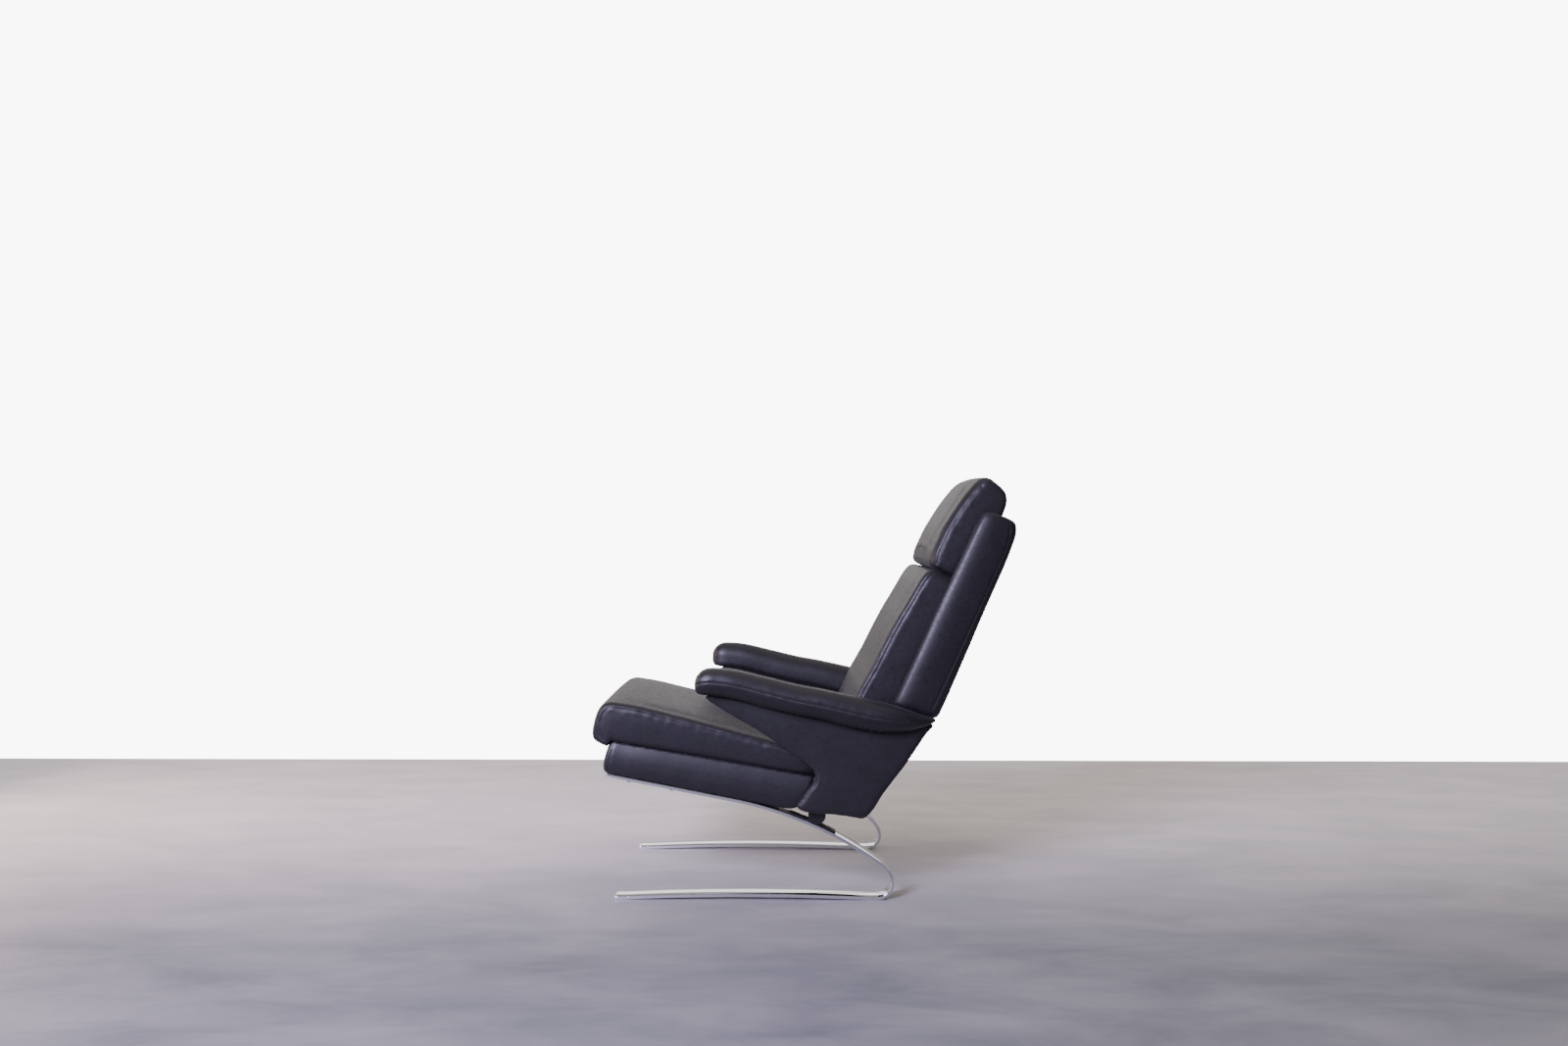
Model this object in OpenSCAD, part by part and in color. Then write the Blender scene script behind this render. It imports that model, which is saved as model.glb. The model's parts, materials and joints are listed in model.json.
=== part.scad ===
// Cantilever lounge chair: bent flat-bar runners, an upholstered seat box
// and a back with side panels and armrests that pivots on the runners.
// The chair faces -X, +Z is up, and the origin is on the floor at mid-width.

/* [Runners] */
// Distance of a runner's middle from the side of the seat box
runner_inset = 23.5; // [22:0.5:26]
// Width of the flat bar
bar_w = 45; // [38:1:48]
// Thickness of the flat bar
bar_t = 8; // [6:0.5:9]
// Length of the floor rail, from its front end to the toe
rail_len = 638.5; // [560:0.5:680]
// Length of the flat foot at each end of the floor rail
rail_foot_len = 18; // [10:1:40]
// Rise of the arched floor rail at its middle
rail_rise = 7; // [3:0.5:12]
// Bend radius of the toe, at mid-thickness
toe_r = 37; // [30:1:45]
// Angle through which the toe bend turns
toe_turn = 115; // [112:1:118]
// Bend radius of the knee above the toe
knee_r = 88; // [75:1:100]
// Angle through which the bar has turned at the top of the knee
knee_turn = 145; // [143:1:147]
// Radius of the long sprung bend
spring_r = 930; // [860:5:980]
// Length of the straight run that carries the seat
seat_run_len = 314; // [280:1:340]
// Slope of the seat, down to the rear
seat_slope = 11; // [9:0.5:13]
// Distance of the toe from mid-length of the chair
toe_x = 178; // [170:1:195]

/* [Seat box] */
// Width of the seat box
box_w = 500; // [480:1:506]
// Distance of the rear of the seat box from the pivot, along the seat
box_clear = 56; // [54:0.5:70]
// Height of the seat box at the front
box_front_h = 79; // [76:1:86]
// Height of the seat box at the rear
box_rear_h = 90; // [84:1:92]
// Bulge of the front face
box_lip = 11; // [7:0.5:12]
// Thickness of padding and leather on the box
cover_t = 8; // [5:0.5:10]
// Roundness of the box edges
box_edge_r = 6; // [3:0.5:9]
// Width of a timber rail
rail_w = 33; // [26:1:36]
// Height of a timber rail
rail_h = 64; // [56:1:66]
// Width of a seat strap
seat_strap_w = 60; // [40:1:70]
// Number of seat straps
seat_straps = 5; // [3:1:5]
// Thickness of an elastic strap
strap_t = 2; // [1.5:0.5:2.5]
// Thickness of the dust cover
dust_t = 1; // [0.8:0.1:1.2]

/* [Seat cushion] */
// Overhang of the seat cushion at each side of the box
seat_cushion_overhang = 5; // [-5:0.5:6]
// Distance of the rear of the seat cushion from the pivot, along the seat
seat_cushion_clear = 10; // [4:0.5:12]
// Height of the seat cushion over the box, at its crown
seat_cushion_h = 101; // [88:1:106]
// Overhang of the seat cushion at the front
seat_cushion_nose = 56; // [46:1:60]

/* [Runner bolts] */
// Nominal diameter of a runner bolt
bolt_d = 8; // [6:1:10]
// Diameter of the bolt head
bolt_head_d = 13; // [12:0.5:16]
// Height of the bolt head
bolt_head_h = 5.5; // [4:0.5:7]
// Length of the bolt above the runner
bolt_grip = 46; // [36:1:52]
// Distance of the first bolt from the runner's front end
bolt_first = 55; // [40:1:70]
// Distance between the bolts
bolt_pitch = 107; // [90:1:120]
// Diameter of a threaded insert
insert_d = 12; // [11:0.5:14]
// Length of a threaded insert
insert_len = 24; // [16:1:26]

/* [Pivot] */
// Distance of the pivot from mid-length of the chair
pivot_x = 31.5; // [29:0.5:34]
// Height of the pivot over the upper face of the runner
pivot_rise = 25; // [24:0.5:27]
// Outer diameter of the bracket's eye
eye_d = 42; // [36:1:44]
// Diameter of the pivot pin
pin_d = 16; // [14:1:18]
// Wall of the pivot bush
bush_t = 4; // [3:0.5:5]
// Thickness of the bush's flange
flange_t = 2.2; // [1.6:0.2:2.4]
// Thickness of the bracket's foot
foot_t = 5; // [4:0.5:5.5]
// Length of the bracket's foot
foot_len = 84; // [78:1:90]
// Diameter of a bracket screw
foot_screw_d = 6; // [5:1:6]
// Distance between the screws of a bracket
foot_screw_pitch = 64; // [60:1:68]

/* [Back] */
// Lean of the back from upright
back_lean = 25; // [23:0.5:27]
// Kink of the lower back
kink_turn = 10; // [8:0.5:12]
// Distance of the kink above the pivot, along the back
kink_z = 337; // [325:1:345]
// Height of the shell above the top of the back cushion, along the back
shell_over = 186; // [160:1:190]
// Overhang of the back shell past the inner face of a side panel
shell_overhang = 17; // [14:1:19]
// Depth of the back shell
shell_depth = 100; // [92:1:106]
// Distance of the shell's front edge behind the pivot
shell_front = 51; // [48:1:56]
// Width of the shell's side wall
shell_wall = 20; // [16:1:21]
// Thickness of the shell's rear skin
skin_t = 12; // [8:1:13]
// Roundness of the shell's edges
shell_edge_r = 14; // [8:1:16]
// Height of the padding over the back frame
top_pad = 60; // [56:1:70]
// Depth of a back upright
upright_d = 30; // [24:1:31]
// Width of a back upright
upright_w = 27.5; // [22:0.5:30]
// Width of a back strap
back_strap_w = 50; // [35:1:60]
// Number of back straps
back_straps = 6; // [3:1:6]

/* [Back cushions] */
// Gap between the back cushion and a side wall of the shell
back_cushion_gap = 2; // [1:0.5:6]
// Height of the back cushion
back_cushion_h = 579; // [560:1:582]
// Distance of the back cushion above the pivot, along the back
back_cushion_z = 80; // [78:1:90]
// Depth of the back cushion
back_cushion_d = 152; // [130:1:156]
// Distance between the headrest and a side wall of the shell
headrest_inset = 19; // [4:1:30]
// Height of the headrest cushion
headrest_h = 261; // [240:1:270]
// Depth of the headrest cushion
headrest_d = 129; // [105:1:130]
// Gap between the back cushion and the headrest
headrest_gap = 1; // [0.5:0.5:4]

/* [Sides and arms] */
// Distance of a side panel from the side of the seat box
side_gap = 8; // [7.5:0.5:9]
// Thickness of a side panel
side_t = 32; // [26:1:36]
// Length of a side panel, as a share of the kink's distance from the pivot
side_len_share = 1.632; // [1.58:0.01:1.66]
// Height of a side panel above the pivot, as a share of the same distance
side_h_share = 0.92; // [0.89:0.005:0.94]
// Roundness of the side panel's edges
side_edge_r = 6; // [4:0.5:7]
// Thickness of the steel side plate
plate_t = 5; // [4:0.5:6]
// Length of an armrest, as a share of the side panel's length
arm_len_share = 1.0515; // [1.03:0.0005:1.06]
// Fall of an armrest from its crown to its rear underside, as a share of
// the side panel's height
arm_fall_share = 0.4935; // [0.48:0.005:0.52]
// Width of an armrest
arm_w = 89; // [75:1:95]
// Distance of an armrest's inner edge outside the inner face of the panel
arm_offset = 4; // [2:0.5:8]
// Thickness of an arm board
arm_board_t = 12; // [9:1:15]
// Width of an arm board
arm_board_w = 44; // [34:1:48]
// Length of an arm board
arm_board_len = 300; // [240:5:310]

/* [Hidden] */

// Clearance between a piece and what it rests on
seat_gap = 0.3;
// Clearance round soft pieces
soft_gap = 0.8;
// Radial clearance of a turning fit
turn_fit = 0.05;
// Radial clearance of a bolt in its hole
bolt_fit = 0.5;
// Overrun of every cut past the face that it opens
overrun = 1;
// Greatest distance of a drawn arc from the true one
arc_sag = 0.1;
// Greatest turn between two points of an arc, in degrees
arc_step = 6;

leather = [0.09, 0.09, 0.11];
leather_side = [0.12, 0.12, 0.15];
chrome = [0.82, 0.84, 0.86];
steel = [0.45, 0.46, 0.48];
black_paint = [0.05, 0.05, 0.05];
beech = [0.80, 0.64, 0.44];
webbing = [0.30, 0.30, 0.28];
nylon = [0.20, 0.20, 0.20];

// Widths and heights that follow from the driving ones
runner_gauge = box_w - 2 * runner_inset;
side_inner_w = box_w + 2 * side_gap;
seat_cushion_w = box_w + 2 * seat_cushion_overhang;
shell_w = side_inner_w + 2 * shell_overhang;
back_cushion_w = shell_w - 2 * shell_wall - 2 * back_cushion_gap;
headrest_w = shell_w - 2 * shell_wall - 2 * headrest_inset;
arm_inner = side_inner_w / 2 + arm_offset;
shell_top = back_cushion_z + back_cushion_h + headrest_gap + shell_over;
side_len = side_len_share * kink_z;
side_h = side_h_share * kink_z;
arm_len = arm_len_share * side_len;
arm_fall = arm_fall_share * side_h;

// Runner path
// Each point of the path holds x, z and the heading of the bar in degrees,
// from the front end of the floor rail round the toe and up to the seat.

function heading_out(h) = [sin(h), -cos(h)];
function arc_count(r, turn) =
  max(2, ceil(abs(turn) / min(arc_step, 2 * acos(1 - arc_sag / r))));
function arc_path(c, r, from, to) =
  let (n = arc_count(r, to - from))
  [for (i = [1:n]) let (h = from + (to - from) * i / n, o = heading_out(h))
    [c[0] + r * o[0], c[1] + r * o[1], h]];

arch_len = rail_len - 2 * rail_foot_len;
rail_r = (arch_len * arch_len / 4 + rail_rise * rail_rise) / (2 * rail_rise);
rail_turn = asin(arch_len / 2 / rail_r);
rail_steps = 10;
rail_c = [toe_x - rail_len / 2, bar_t / 2 + rail_rise - rail_r];
toe_c = [toe_x, bar_t / 2 + toe_r];
knee_c = toe_c + (toe_r - knee_r) * heading_out(toe_turn);
spring_c = knee_c + (knee_r - spring_r) * heading_out(knee_turn);
run_heading = 180 - seat_slope;
run_start = spring_c + spring_r * heading_out(run_heading);
run_end = run_start + seat_run_len * [cos(run_heading), sin(run_heading)];

runner_path = concat(
  [[toe_x - rail_len, bar_t / 2, 0], [toe_x - rail_len + rail_foot_len, bar_t / 2, 0]],
  [for (i = [1:rail_steps - 1]) let (h = rail_turn * (1 - 2 * i / rail_steps), o = heading_out(h))
    [rail_c[0] - rail_r * o[0], rail_c[1] - rail_r * o[1], h]],
  [[toe_x - rail_foot_len, bar_t / 2, 0], [toe_x, bar_t / 2, 0]],
  arc_path(toe_c, toe_r, 0, toe_turn),
  arc_path(knee_c, knee_r, toe_turn, knee_turn),
  arc_path(spring_c, spring_r, knee_turn, run_heading),
  [[run_end[0], run_end[1], run_heading]]);

function path_offset(path, d) =
  [for (p = path) [p[0], p[1]] + d * heading_out(p[2])];
function reversed(list) = [for (i = [len(list) - 1:-1:0]) list[i]];

// Front end of the runner's upper face: the seat's own frame starts here
seat_origin = run_end + bar_t / 2 * heading_out(run_heading);

// The pivot stands off the sprung bend, and the seat box ends before it
pivot_up = spring_r + bar_t / 2 + pivot_rise;
pivot_heading = 180 - asin((pivot_x - spring_c[0]) / pivot_up);
pivot_z = spring_c[1] - pivot_up * cos(pivot_heading);
pivot_u = (pivot_x - seat_origin[0]) * cos(seat_slope) - (pivot_z - seat_origin[1]) * sin(seat_slope);
box_len = pivot_u - box_clear;
seat_cushion_len = pivot_u - seat_cushion_clear + seat_cushion_nose;

module on_seat() {
  translate([seat_origin[0], 0, seat_origin[1]]) rotate([0, seat_slope, 0]) children();
}

// The back's own frame starts at the pivot, with +Z up the back
module on_back() {
  translate([pivot_x, 0, pivot_z]) rotate([0, back_lean, 0]) children();
}

module on_pivot() {
  translate([pivot_x, 0, pivot_z]) children();
}

module pair() {
  children();
  mirror([0, 1, 0]) children();
}

module left() {
  mirror([0, 1, 0]) children();
}

// Round bar along Y from y0 to y1
module round_y(r, y0, y1) {
  translate([0, y1, 0]) rotate([90, 0, 0]) cylinder(r = r, h = y1 - y0, $fn = 48);
}

// Flat slab along Y from y0 to y1 on an outline in X and Z
module slab_y(outline, y0, y1) {
  translate([0, y1, 0]) rotate([90, 0, 0]) linear_extrude(y1 - y0) polygon(outline);
}

// Closed skin over rings of equal counts. Seen along the rings' travel,
// each ring runs anticlockwise. A cap that isn't convex comes as triangles.
module skin(rings, cap = []) {
  m = len(rings[0]);
  last = len(rings) - 1;
  points = [for (ring = rings) each ring];
  sides = [for (j = [0:last - 1]) for (i = [0:m - 1]) let (k = (i + 1) % m)
    each [[j * m + i, j * m + k, (j + 1) * m + k], [j * m + i, (j + 1) * m + k, (j + 1) * m + i]]];
  whole = len(cap) > 0 ? cap : [[for (i = [0:m - 1]) i]];
  start_cap = [for (face = whole) reversed(face)];
  end_cap = [for (face = whole) [for (i = face) last * m + i]];
  polyhedron(points = points, faces = concat(start_cap, sides, end_cap));
}

// Triangles of an anticlockwise outline, cut off one corner at a time
function turns(a, b, c) = (b[0] - a[0]) * (c[1] - a[1]) - (b[1] - a[1]) * (c[0] - a[0]);
function holds(a, b, c, p) = turns(a, b, p) >= 0 && turns(b, c, p) >= 0 && turns(c, a, p) >= 0;
function is_corner_free(outline, left_over, i) =
  let (n = len(left_over), before = (i + n - 1) % n, after = (i + 1) % n,
    a = outline[left_over[before]], b = outline[left_over[i]], c = outline[left_over[after]])
  turns(a, b, c) > 0 && len([for (k = [0:n - 1])
    if (k != before && k != i && k != after && holds(a, b, c, outline[left_over[k]])) k]) == 0;
function cut_corners(outline, left_over) =
  len(left_over) < 4 ? [left_over] :
  let (n = len(left_over),
    i = [for (k = [0:n - 1]) if (is_corner_free(outline, left_over, k)) k][0])
  concat([[left_over[(i + n - 1) % n], left_over[i], left_over[(i + 1) % n]]],
    cut_corners(outline, [for (k = [0:n - 1]) if (k != i) left_over[k]]));

function unit(v) = v / norm(v);
function edge_normal(a, b) = let (d = unit(b - a)) [-d[1], d[0]];
// An anticlockwise outline moved inwards by d
function inset(outline, d) =
  let (n = len(outline))
  [for (i = [0:n - 1]) let (
      n1 = edge_normal(outline[(i + n - 1) % n], outline[i]),
      n2 = edge_normal(outline[i], outline[(i + 1) % n]))
    outline[i] + d * (n1 + n2) / (1 + n1 * n2)];

// Slab along Y with both rims rounded, on an anticlockwise outline in X and Z
rim_steps = 3;
module soft_slab(outline, y0, y1, r) {
  rim = [for (i = [0:rim_steps]) let (a = 90 * i / rim_steps) [r * (1 - sin(a)), r * (1 - cos(a))]];
  rings = concat(
    [for (s = rim) [for (p = inset(outline, s[0])) [p[0], y0 + s[1], p[1]]]],
    [for (s = reversed(rim)) [for (p = inset(outline, s[0])) [p[0], y1 - s[1], p[1]]]]);
  skin(rings, cut_corners(inset(outline, r), [for (i = [0:len(outline) - 1]) i]));
}

// Section of a stuffed pad: a square with full faces and round corners
pad_points = 28;
function power(v, e) = sign(v) * pow(abs(v), e);
function pad_section(e) =
  [for (i = [0:pad_points - 1]) let (t = 360 * i / pad_points) [power(cos(t), e), power(sin(t), e)]];

// Runners

// Holes in the upper run for the seat bolts
module bolt_places() {
  for (i = [0:1]) translate([bolt_first + i * bolt_pitch, runner_gauge / 2, 0]) children();
}

// Places of the bracket screws, square to the runner's upper face
module foot_places() {
  for (side = [-1, 1]) let (
      h = pivot_heading + side * foot_screw_pitch / 2 / spring_r * 180 / PI,
      p = spring_c + spring_r * heading_out(h))
    translate([p[0], runner_gauge / 2, p[1]]) rotate([0, 180 - h, 0]) children();
}

module runner() {
  outline = concat(path_offset(runner_path, bar_t / 2), reversed(path_offset(runner_path, -bar_t / 2)));
  color(chrome) difference() {
    slab_y(outline, runner_gauge / 2 - bar_w / 2, runner_gauge / 2 + bar_w / 2);
    on_seat() bolt_places()
      translate([0, 0, -bar_t - overrun])
        cylinder(d = bolt_d + 2 * bolt_fit, h = bar_t + 2 * overrun, $fn = 32);
    foot_places()
      translate([0, 0, -bar_t / 2 - overrun])
        cylinder(d = foot_screw_d + 2 * bolt_fit, h = bar_t + 2 * overrun, $fn = 32);
  }
}
module runner_right() { runner(); }
module runner_left() { left() runner(); }

// Seat frame, in the seat's own frame

rail_z = seat_gap + dust_t + seat_gap;
rail_outer = box_w / 2 - cover_t - seat_gap;
rail_front = seat_gap;
rail_rear = box_len - 2 * cover_t - seat_gap;
rail_inner = rail_outer - rail_w;

module seat_side_rail() {
  color(beech) on_seat() difference() {
    translate([rail_front, rail_inner, rail_z]) cube([rail_rear - rail_front, rail_w, rail_h]);
    bolt_places() {
      translate([0, 0, rail_z - overrun])
        cylinder(d = bolt_d + 2 * bolt_fit, h = rail_h, $fn = 32);
      translate([0, 0, bolt_grip - insert_len])
        cylinder(d = insert_d + 2 * turn_fit, h = rail_h, $fn = 32);
    }
  }
}
module seat_side_rail_right() { seat_side_rail(); }
module seat_side_rail_left() { left() seat_side_rail(); }

module cross_rail(x) {
  color(beech) on_seat()
    translate([x, -rail_inner, rail_z]) cube([rail_w, 2 * rail_inner, rail_h]);
}
module seat_front_rail() { cross_rail(rail_front); }
module seat_rear_rail() { cross_rail(rail_rear - rail_w); }

block_len = 1.6 * rail_w;
module seat_corner_blocks() {
  front = rail_front + rail_w;
  rear = rail_rear - rail_w;
  color(beech) on_seat() pair() translate([0, 0, rail_z]) linear_extrude(rail_h - strap_t) {
    polygon([[front, rail_inner], [front, rail_inner - block_len], [front + block_len, rail_inner]]);
    polygon([[rear, rail_inner], [rear - block_len, rail_inner], [rear, rail_inner - block_len]]);
  }
}

strap_z = rail_z + rail_h;
module seat_straps_set() {
  open_len = rail_rear - rail_front - 2 * rail_w;
  pitch = open_len / seat_straps;
  color(webbing) on_seat() for (i = [0:seat_straps - 1])
    translate([rail_front + rail_w + (i + 0.5) * pitch - seat_strap_w / 2, -rail_outer, strap_z])
      cube([seat_strap_w, 2 * rail_outer, strap_t]);
}

// Height of the top of the box over its underside at x
function box_top(x) = box_front_h + (box_rear_h - box_front_h) * x / box_len;

module seat_deck() {
  z = strap_z + strap_t + seat_gap;
  outline = [
    [rail_front, z], [rail_rear, z],
    [rail_rear, box_top(rail_rear)], [rail_front, box_top(rail_front)]];
  color(leather) on_seat() slab_y(outline, -rail_outer, rail_outer);
}

module dust_cover() {
  color(black_paint) on_seat() difference() {
    translate([rail_front, -rail_outer, seat_gap])
      cube([rail_rear - rail_front - rail_w / 2, 2 * rail_outer, dust_t]);
    pair() bolt_places() cylinder(d = bolt_d + 2 * bolt_fit, h = rail_h, center = true, $fn = 32);
  }
}

// Upholstered border of the seat box: padded walls round the timber frame
// Front face from its top down: share of the lip and of the height
box_front_shares = [
  [-0.25, 1.00], [-0.70, 0.68], [-1.00, 0.36], [-0.95, 0.16], [-0.62, 0.05]];
box_rear_reach = 32;
box_rear_rise = 15;
box_rear_cut = 20;
box_outline = concat(
  [[0, seat_gap],
   [box_len - box_rear_cut, seat_gap],
   [box_len - box_rear_cut / 3, box_rear_rise / 3],
   [box_len, box_rear_rise],
   [box_len + box_rear_reach, box_top(box_len + box_rear_reach)]],
  scaled(box_front_shares, box_lip, box_front_h));
module seat_box() {
  hollow = [
    [0, -overrun], [rail_rear + seat_gap, -overrun],
    [rail_rear + seat_gap, 2 * box_rear_h], [0, 2 * box_rear_h]];
  color(leather_side) on_seat() difference() {
    soft_slab(box_outline, -box_w / 2, box_w / 2, box_edge_r);
    slab_y(hollow, -rail_outer - seat_gap, rail_outer + seat_gap);
  }
}

// Seat cushion: x, low and high as shares of length and height, then the
// share of the width
seat_cushion_shares = [
  [0.000,  0.150, 0.46, 0.940], [0.005,  0.020, 0.66, 0.965], [0.016, -0.071, 0.82, 0.980],
  [0.037, -0.136, 0.93, 0.990], [0.060, -0.163, 0.975, 0.997], [0.074, -0.172, 0.985, 1.000],
  [0.0755, 0.000, 0.986, 1.000], [0.160,  0.000, 1.00, 0.999], [0.260,  0.000, 0.963, 0.995],
  [0.354,  0.000, 0.924, 0.993], [0.477,  0.000, 0.875, 0.992], [0.630,  0.000, 0.801, 0.994],
  [0.755,  0.000, 0.743, 0.997], [0.882,  0.000, 0.693, 0.999], [0.965,  0.010, 0.646, 0.985],
  [0.990,  0.070, 0.567, 0.960], [1.000,  0.220, 0.418, 0.920]];
seat_cushion_square = 0.4;
module seat_cushion() {
  section = pad_section(seat_cushion_square);
  rings = [for (s = seat_cushion_shares) let (
      x = s[0] * seat_cushion_len - seat_cushion_nose,
      base = box_top(max(x, 0)) + seat_gap,
      low = base + s[1] * seat_cushion_h,
      high = base + s[2] * seat_cushion_h,
      mid = max((base + high) / 2, (low + high) / 2),
      half = s[3] * seat_cushion_w / 2)
    [for (p = section)
      [x, -half * p[0], mid + (p[1] > 0 ? high - mid : mid - low) * p[1]]]];
  color(leather) on_seat() skin(rings);
}

// Runner bolts and their inserts

head_fillet_share = 0.3;
module runner_bolt() {
  head = [
    [0, -bar_t - seat_gap], [0, -bar_t - seat_gap - bolt_head_h],
    [bolt_head_d / 2 * (1 - head_fillet_share), -bar_t - seat_gap - bolt_head_h],
    [bolt_head_d / 2, -bar_t - seat_gap - bolt_head_h * (1 - head_fillet_share)],
    [bolt_head_d / 2, -bar_t - seat_gap]];
  rotate_extrude($fn = 32) polygon(head);
  translate([0, 0, -bar_t - seat_gap]) cylinder(d = bolt_d, h = bar_t + seat_gap + bolt_grip, $fn = 32);
}
module runner_bolts() {
  color(black_paint) on_seat() pair() bolt_places() runner_bolt();
}
module rail_inserts() {
  color(steel) on_seat() pair() bolt_places() translate([0, 0, bolt_grip - insert_len]) difference() {
    cylinder(d = insert_d, h = insert_len, $fn = 32);
    translate([0, 0, -overrun])
      cylinder(d = bolt_d + 2 * turn_fit, h = insert_len + 2 * overrun, $fn = 32);
  }
}

// Pivot

eye_inner = runner_gauge / 2 - bar_w / 2 + 2 * turn_fit;
side_inner = side_inner_w / 2;
plate_inner = side_inner + seat_gap;
eye_outer = side_inner - flange_t - seat_gap;
bush_r = pin_d / 2 + turn_fit + bush_t;
flange_r = bush_r + bush_t;

// Points along the runner's upper face, a distance up from mid-thickness,
// from one end of a stretch under the pivot to the other
function foot_arc(up, stretch) =
  let (half = stretch / 2 / spring_r * 180 / PI, n = arc_count(spring_r, 2 * half))
  [for (i = [0:n]) spring_c + (spring_r + up) * heading_out(pivot_heading + half * (2 * i / n - 1))];

// Bracket screws, with heads let into the foot
screw_head_d = 1.9 * foot_screw_d;
screw_head_h = 0.5 * foot_screw_d;
screw_head_low = bar_t / 2 + seat_gap + foot_t - screw_head_h;

web_share = 0.5;
web_top_share = 0.4;
module pivot_bracket() {
  low = bar_t / 2 + seat_gap;
  foot = concat(foot_arc(low, foot_len), reversed(foot_arc(low + foot_t, foot_len)));
  web = concat(
    foot_arc(low + foot_t / 2, web_share * eye_d),
    [[pivot_x - web_top_share * eye_d, pivot_z], [pivot_x + web_top_share * eye_d, pivot_z]]);
  color(black_paint) difference() {
    union() {
      slab_y(foot, eye_inner, eye_outer);
      slab_y(web, eye_inner, eye_outer);
      on_pivot() round_y(eye_d / 2, eye_inner, eye_outer);
    }
    on_pivot() round_y(bush_r + turn_fit, eye_inner - overrun, eye_outer + overrun);
    foot_places() {
      cylinder(d = foot_screw_d + 2 * bolt_fit, h = eye_d / 2, $fn = 32);
      translate([0, 0, screw_head_low - seat_gap])
        cylinder(d = screw_head_d + 2 * bolt_fit, h = eye_d / 2, $fn = 32);
    }
  }
}
module pivot_bracket_right() { pivot_bracket(); }
module pivot_bracket_left() { left() pivot_bracket(); }

module pivot_bush() {
  color(nylon) on_pivot() difference() {
    union() {
      round_y(bush_r, eye_inner, eye_outer);
      round_y(flange_r, eye_outer, eye_outer + flange_t);
    }
    round_y(pin_d / 2 + turn_fit, eye_inner - overrun, side_inner + overrun);
  }
}
module pivot_bush_right() { pivot_bush(); }
module pivot_bush_left() { left() pivot_bush(); }

module bracket_screws() {
  color(steel) pair() foot_places() {
    translate([0, 0, screw_head_low]) cylinder(d = screw_head_d, h = screw_head_h, $fn = 32);
    translate([0, 0, -bar_t / 2])
      cylinder(d = foot_screw_d, h = screw_head_low + bar_t / 2 + overrun, $fn = 32);
  }
}

clip_t = 1.5;
clip_w = 4;
pin_tail = 4;
groove_depth = 1;
clip_y = eye_inner - seat_gap - clip_t;
module pivot_pin() {
  color(steel) on_pivot() difference() {
    round_y(pin_d / 2, clip_y - pin_tail, plate_inner + plate_t);
    difference() {
      round_y(pin_d, clip_y - turn_fit, clip_y + clip_t + turn_fit);
      round_y(pin_d / 2 - groove_depth, clip_y - overrun, clip_y + clip_t + overrun);
    }
  }
}
module pivot_pin_right() { pivot_pin(); }
module pivot_pin_left() { left() pivot_pin(); }

module pin_clips() {
  color(steel) pair() on_pivot() difference() {
    round_y(pin_d / 2 + clip_w, clip_y, clip_y + clip_t);
    round_y(pin_d / 2 - groove_depth + turn_fit, clip_y - overrun, clip_y + clip_t + overrun);
  }
}

// Sides

function scaled(shares, w, h) = [for (s = shares) [s[0] * w, s[1] * h]];

// Armrests: x, low, high, inner and outer shares along the arm
arm_shares = [
  [0.000, 0.673, 0.804, 0.31, 0.70], [0.004, 0.630, 0.863, 0.21, 0.80],
  [0.014, 0.600, 0.920, 0.11, 0.90], [0.034, 0.588, 0.985, 0.03, 0.97],
  [0.068, 0.578, 1.014, 0.00, 1.00], [0.130, 0.552, 1.000, 0.00, 1.00],
  [0.289, 0.402, 0.870, 0.00, 1.00], [0.430, 0.278, 0.739, 0.00, 1.00],
  [0.525, 0.206, 0.678, 0.00, 1.00], [0.664, 0.072, 0.566, 0.00, 1.00],
  [0.758, 0.014, 0.486, 0.00, 0.99], [0.822, 0.006, 0.430, 0.00, 0.94],
  [0.880, 0.018, 0.355, 0.02, 0.83], [0.936, 0.064, 0.268, 0.04, 0.65],
  [0.984, 0.125, 0.212, 0.07, 0.43], [1.000, 0.160, 0.190, 0.11, 0.31]];
arm_nose_share = -0.532;
arm_base_share = 0.671;
function arm_x(s) = arm_nose_share * side_len + s[0] * arm_len;
function arm_low(s) = arm_base_share * side_h + s[1] * arm_fall;
function arm_high(s) = arm_base_share * side_h + s[2] * arm_fall;

// Side panel seen from the side, as shares of its length and height, from
// the pivot: underside and rear edge, then the nose and the notch.
// Its top edge lies under the arm.
side_rear_shares = [
  [-0.068, 0.053], [0.084, 0.023], [0.187, -0.004], [0.217, 0.029],
  [0.252, 0.087], [0.281, 0.171], [0.386, 0.413], [0.479, 0.658], [0.511, 0.725]];
side_nose_shares = [
  [-0.490, 0.938], [-0.402, 0.823], [-0.260, 0.677], [-0.127, 0.519],
  [-0.067, 0.448], [-0.031, 0.400], [-0.011, 0.355], [-0.007, 0.323], [-0.013, 0.274],
  [-0.038, 0.216], [-0.067, 0.145], [-0.090, 0.085]];
// Stretch of the arm that the panel carries
arm_on_shares = [0.05, 0.97];
side_outline = concat(
  scaled(side_rear_shares, side_len, side_h),
  reversed([for (s = arm_shares) if (s[0] > arm_on_shares[0] && s[0] < arm_on_shares[1])
    [arm_x(s), arm_low(s) - seat_gap]]),
  scaled(side_nose_shares, side_len, side_h));

// Side plate: carries the pin and the back's uprights
plate_shares = [
  [-0.039, 0.045], [0.164, 0.035], [0.222, 0.100], [0.385, 0.515], [0.308, 0.568],
  [0.155, 0.330], [0.026, 0.175], [-0.039, 0.130]];
plate_outline = scaled(plate_shares, side_len, side_h);

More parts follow.
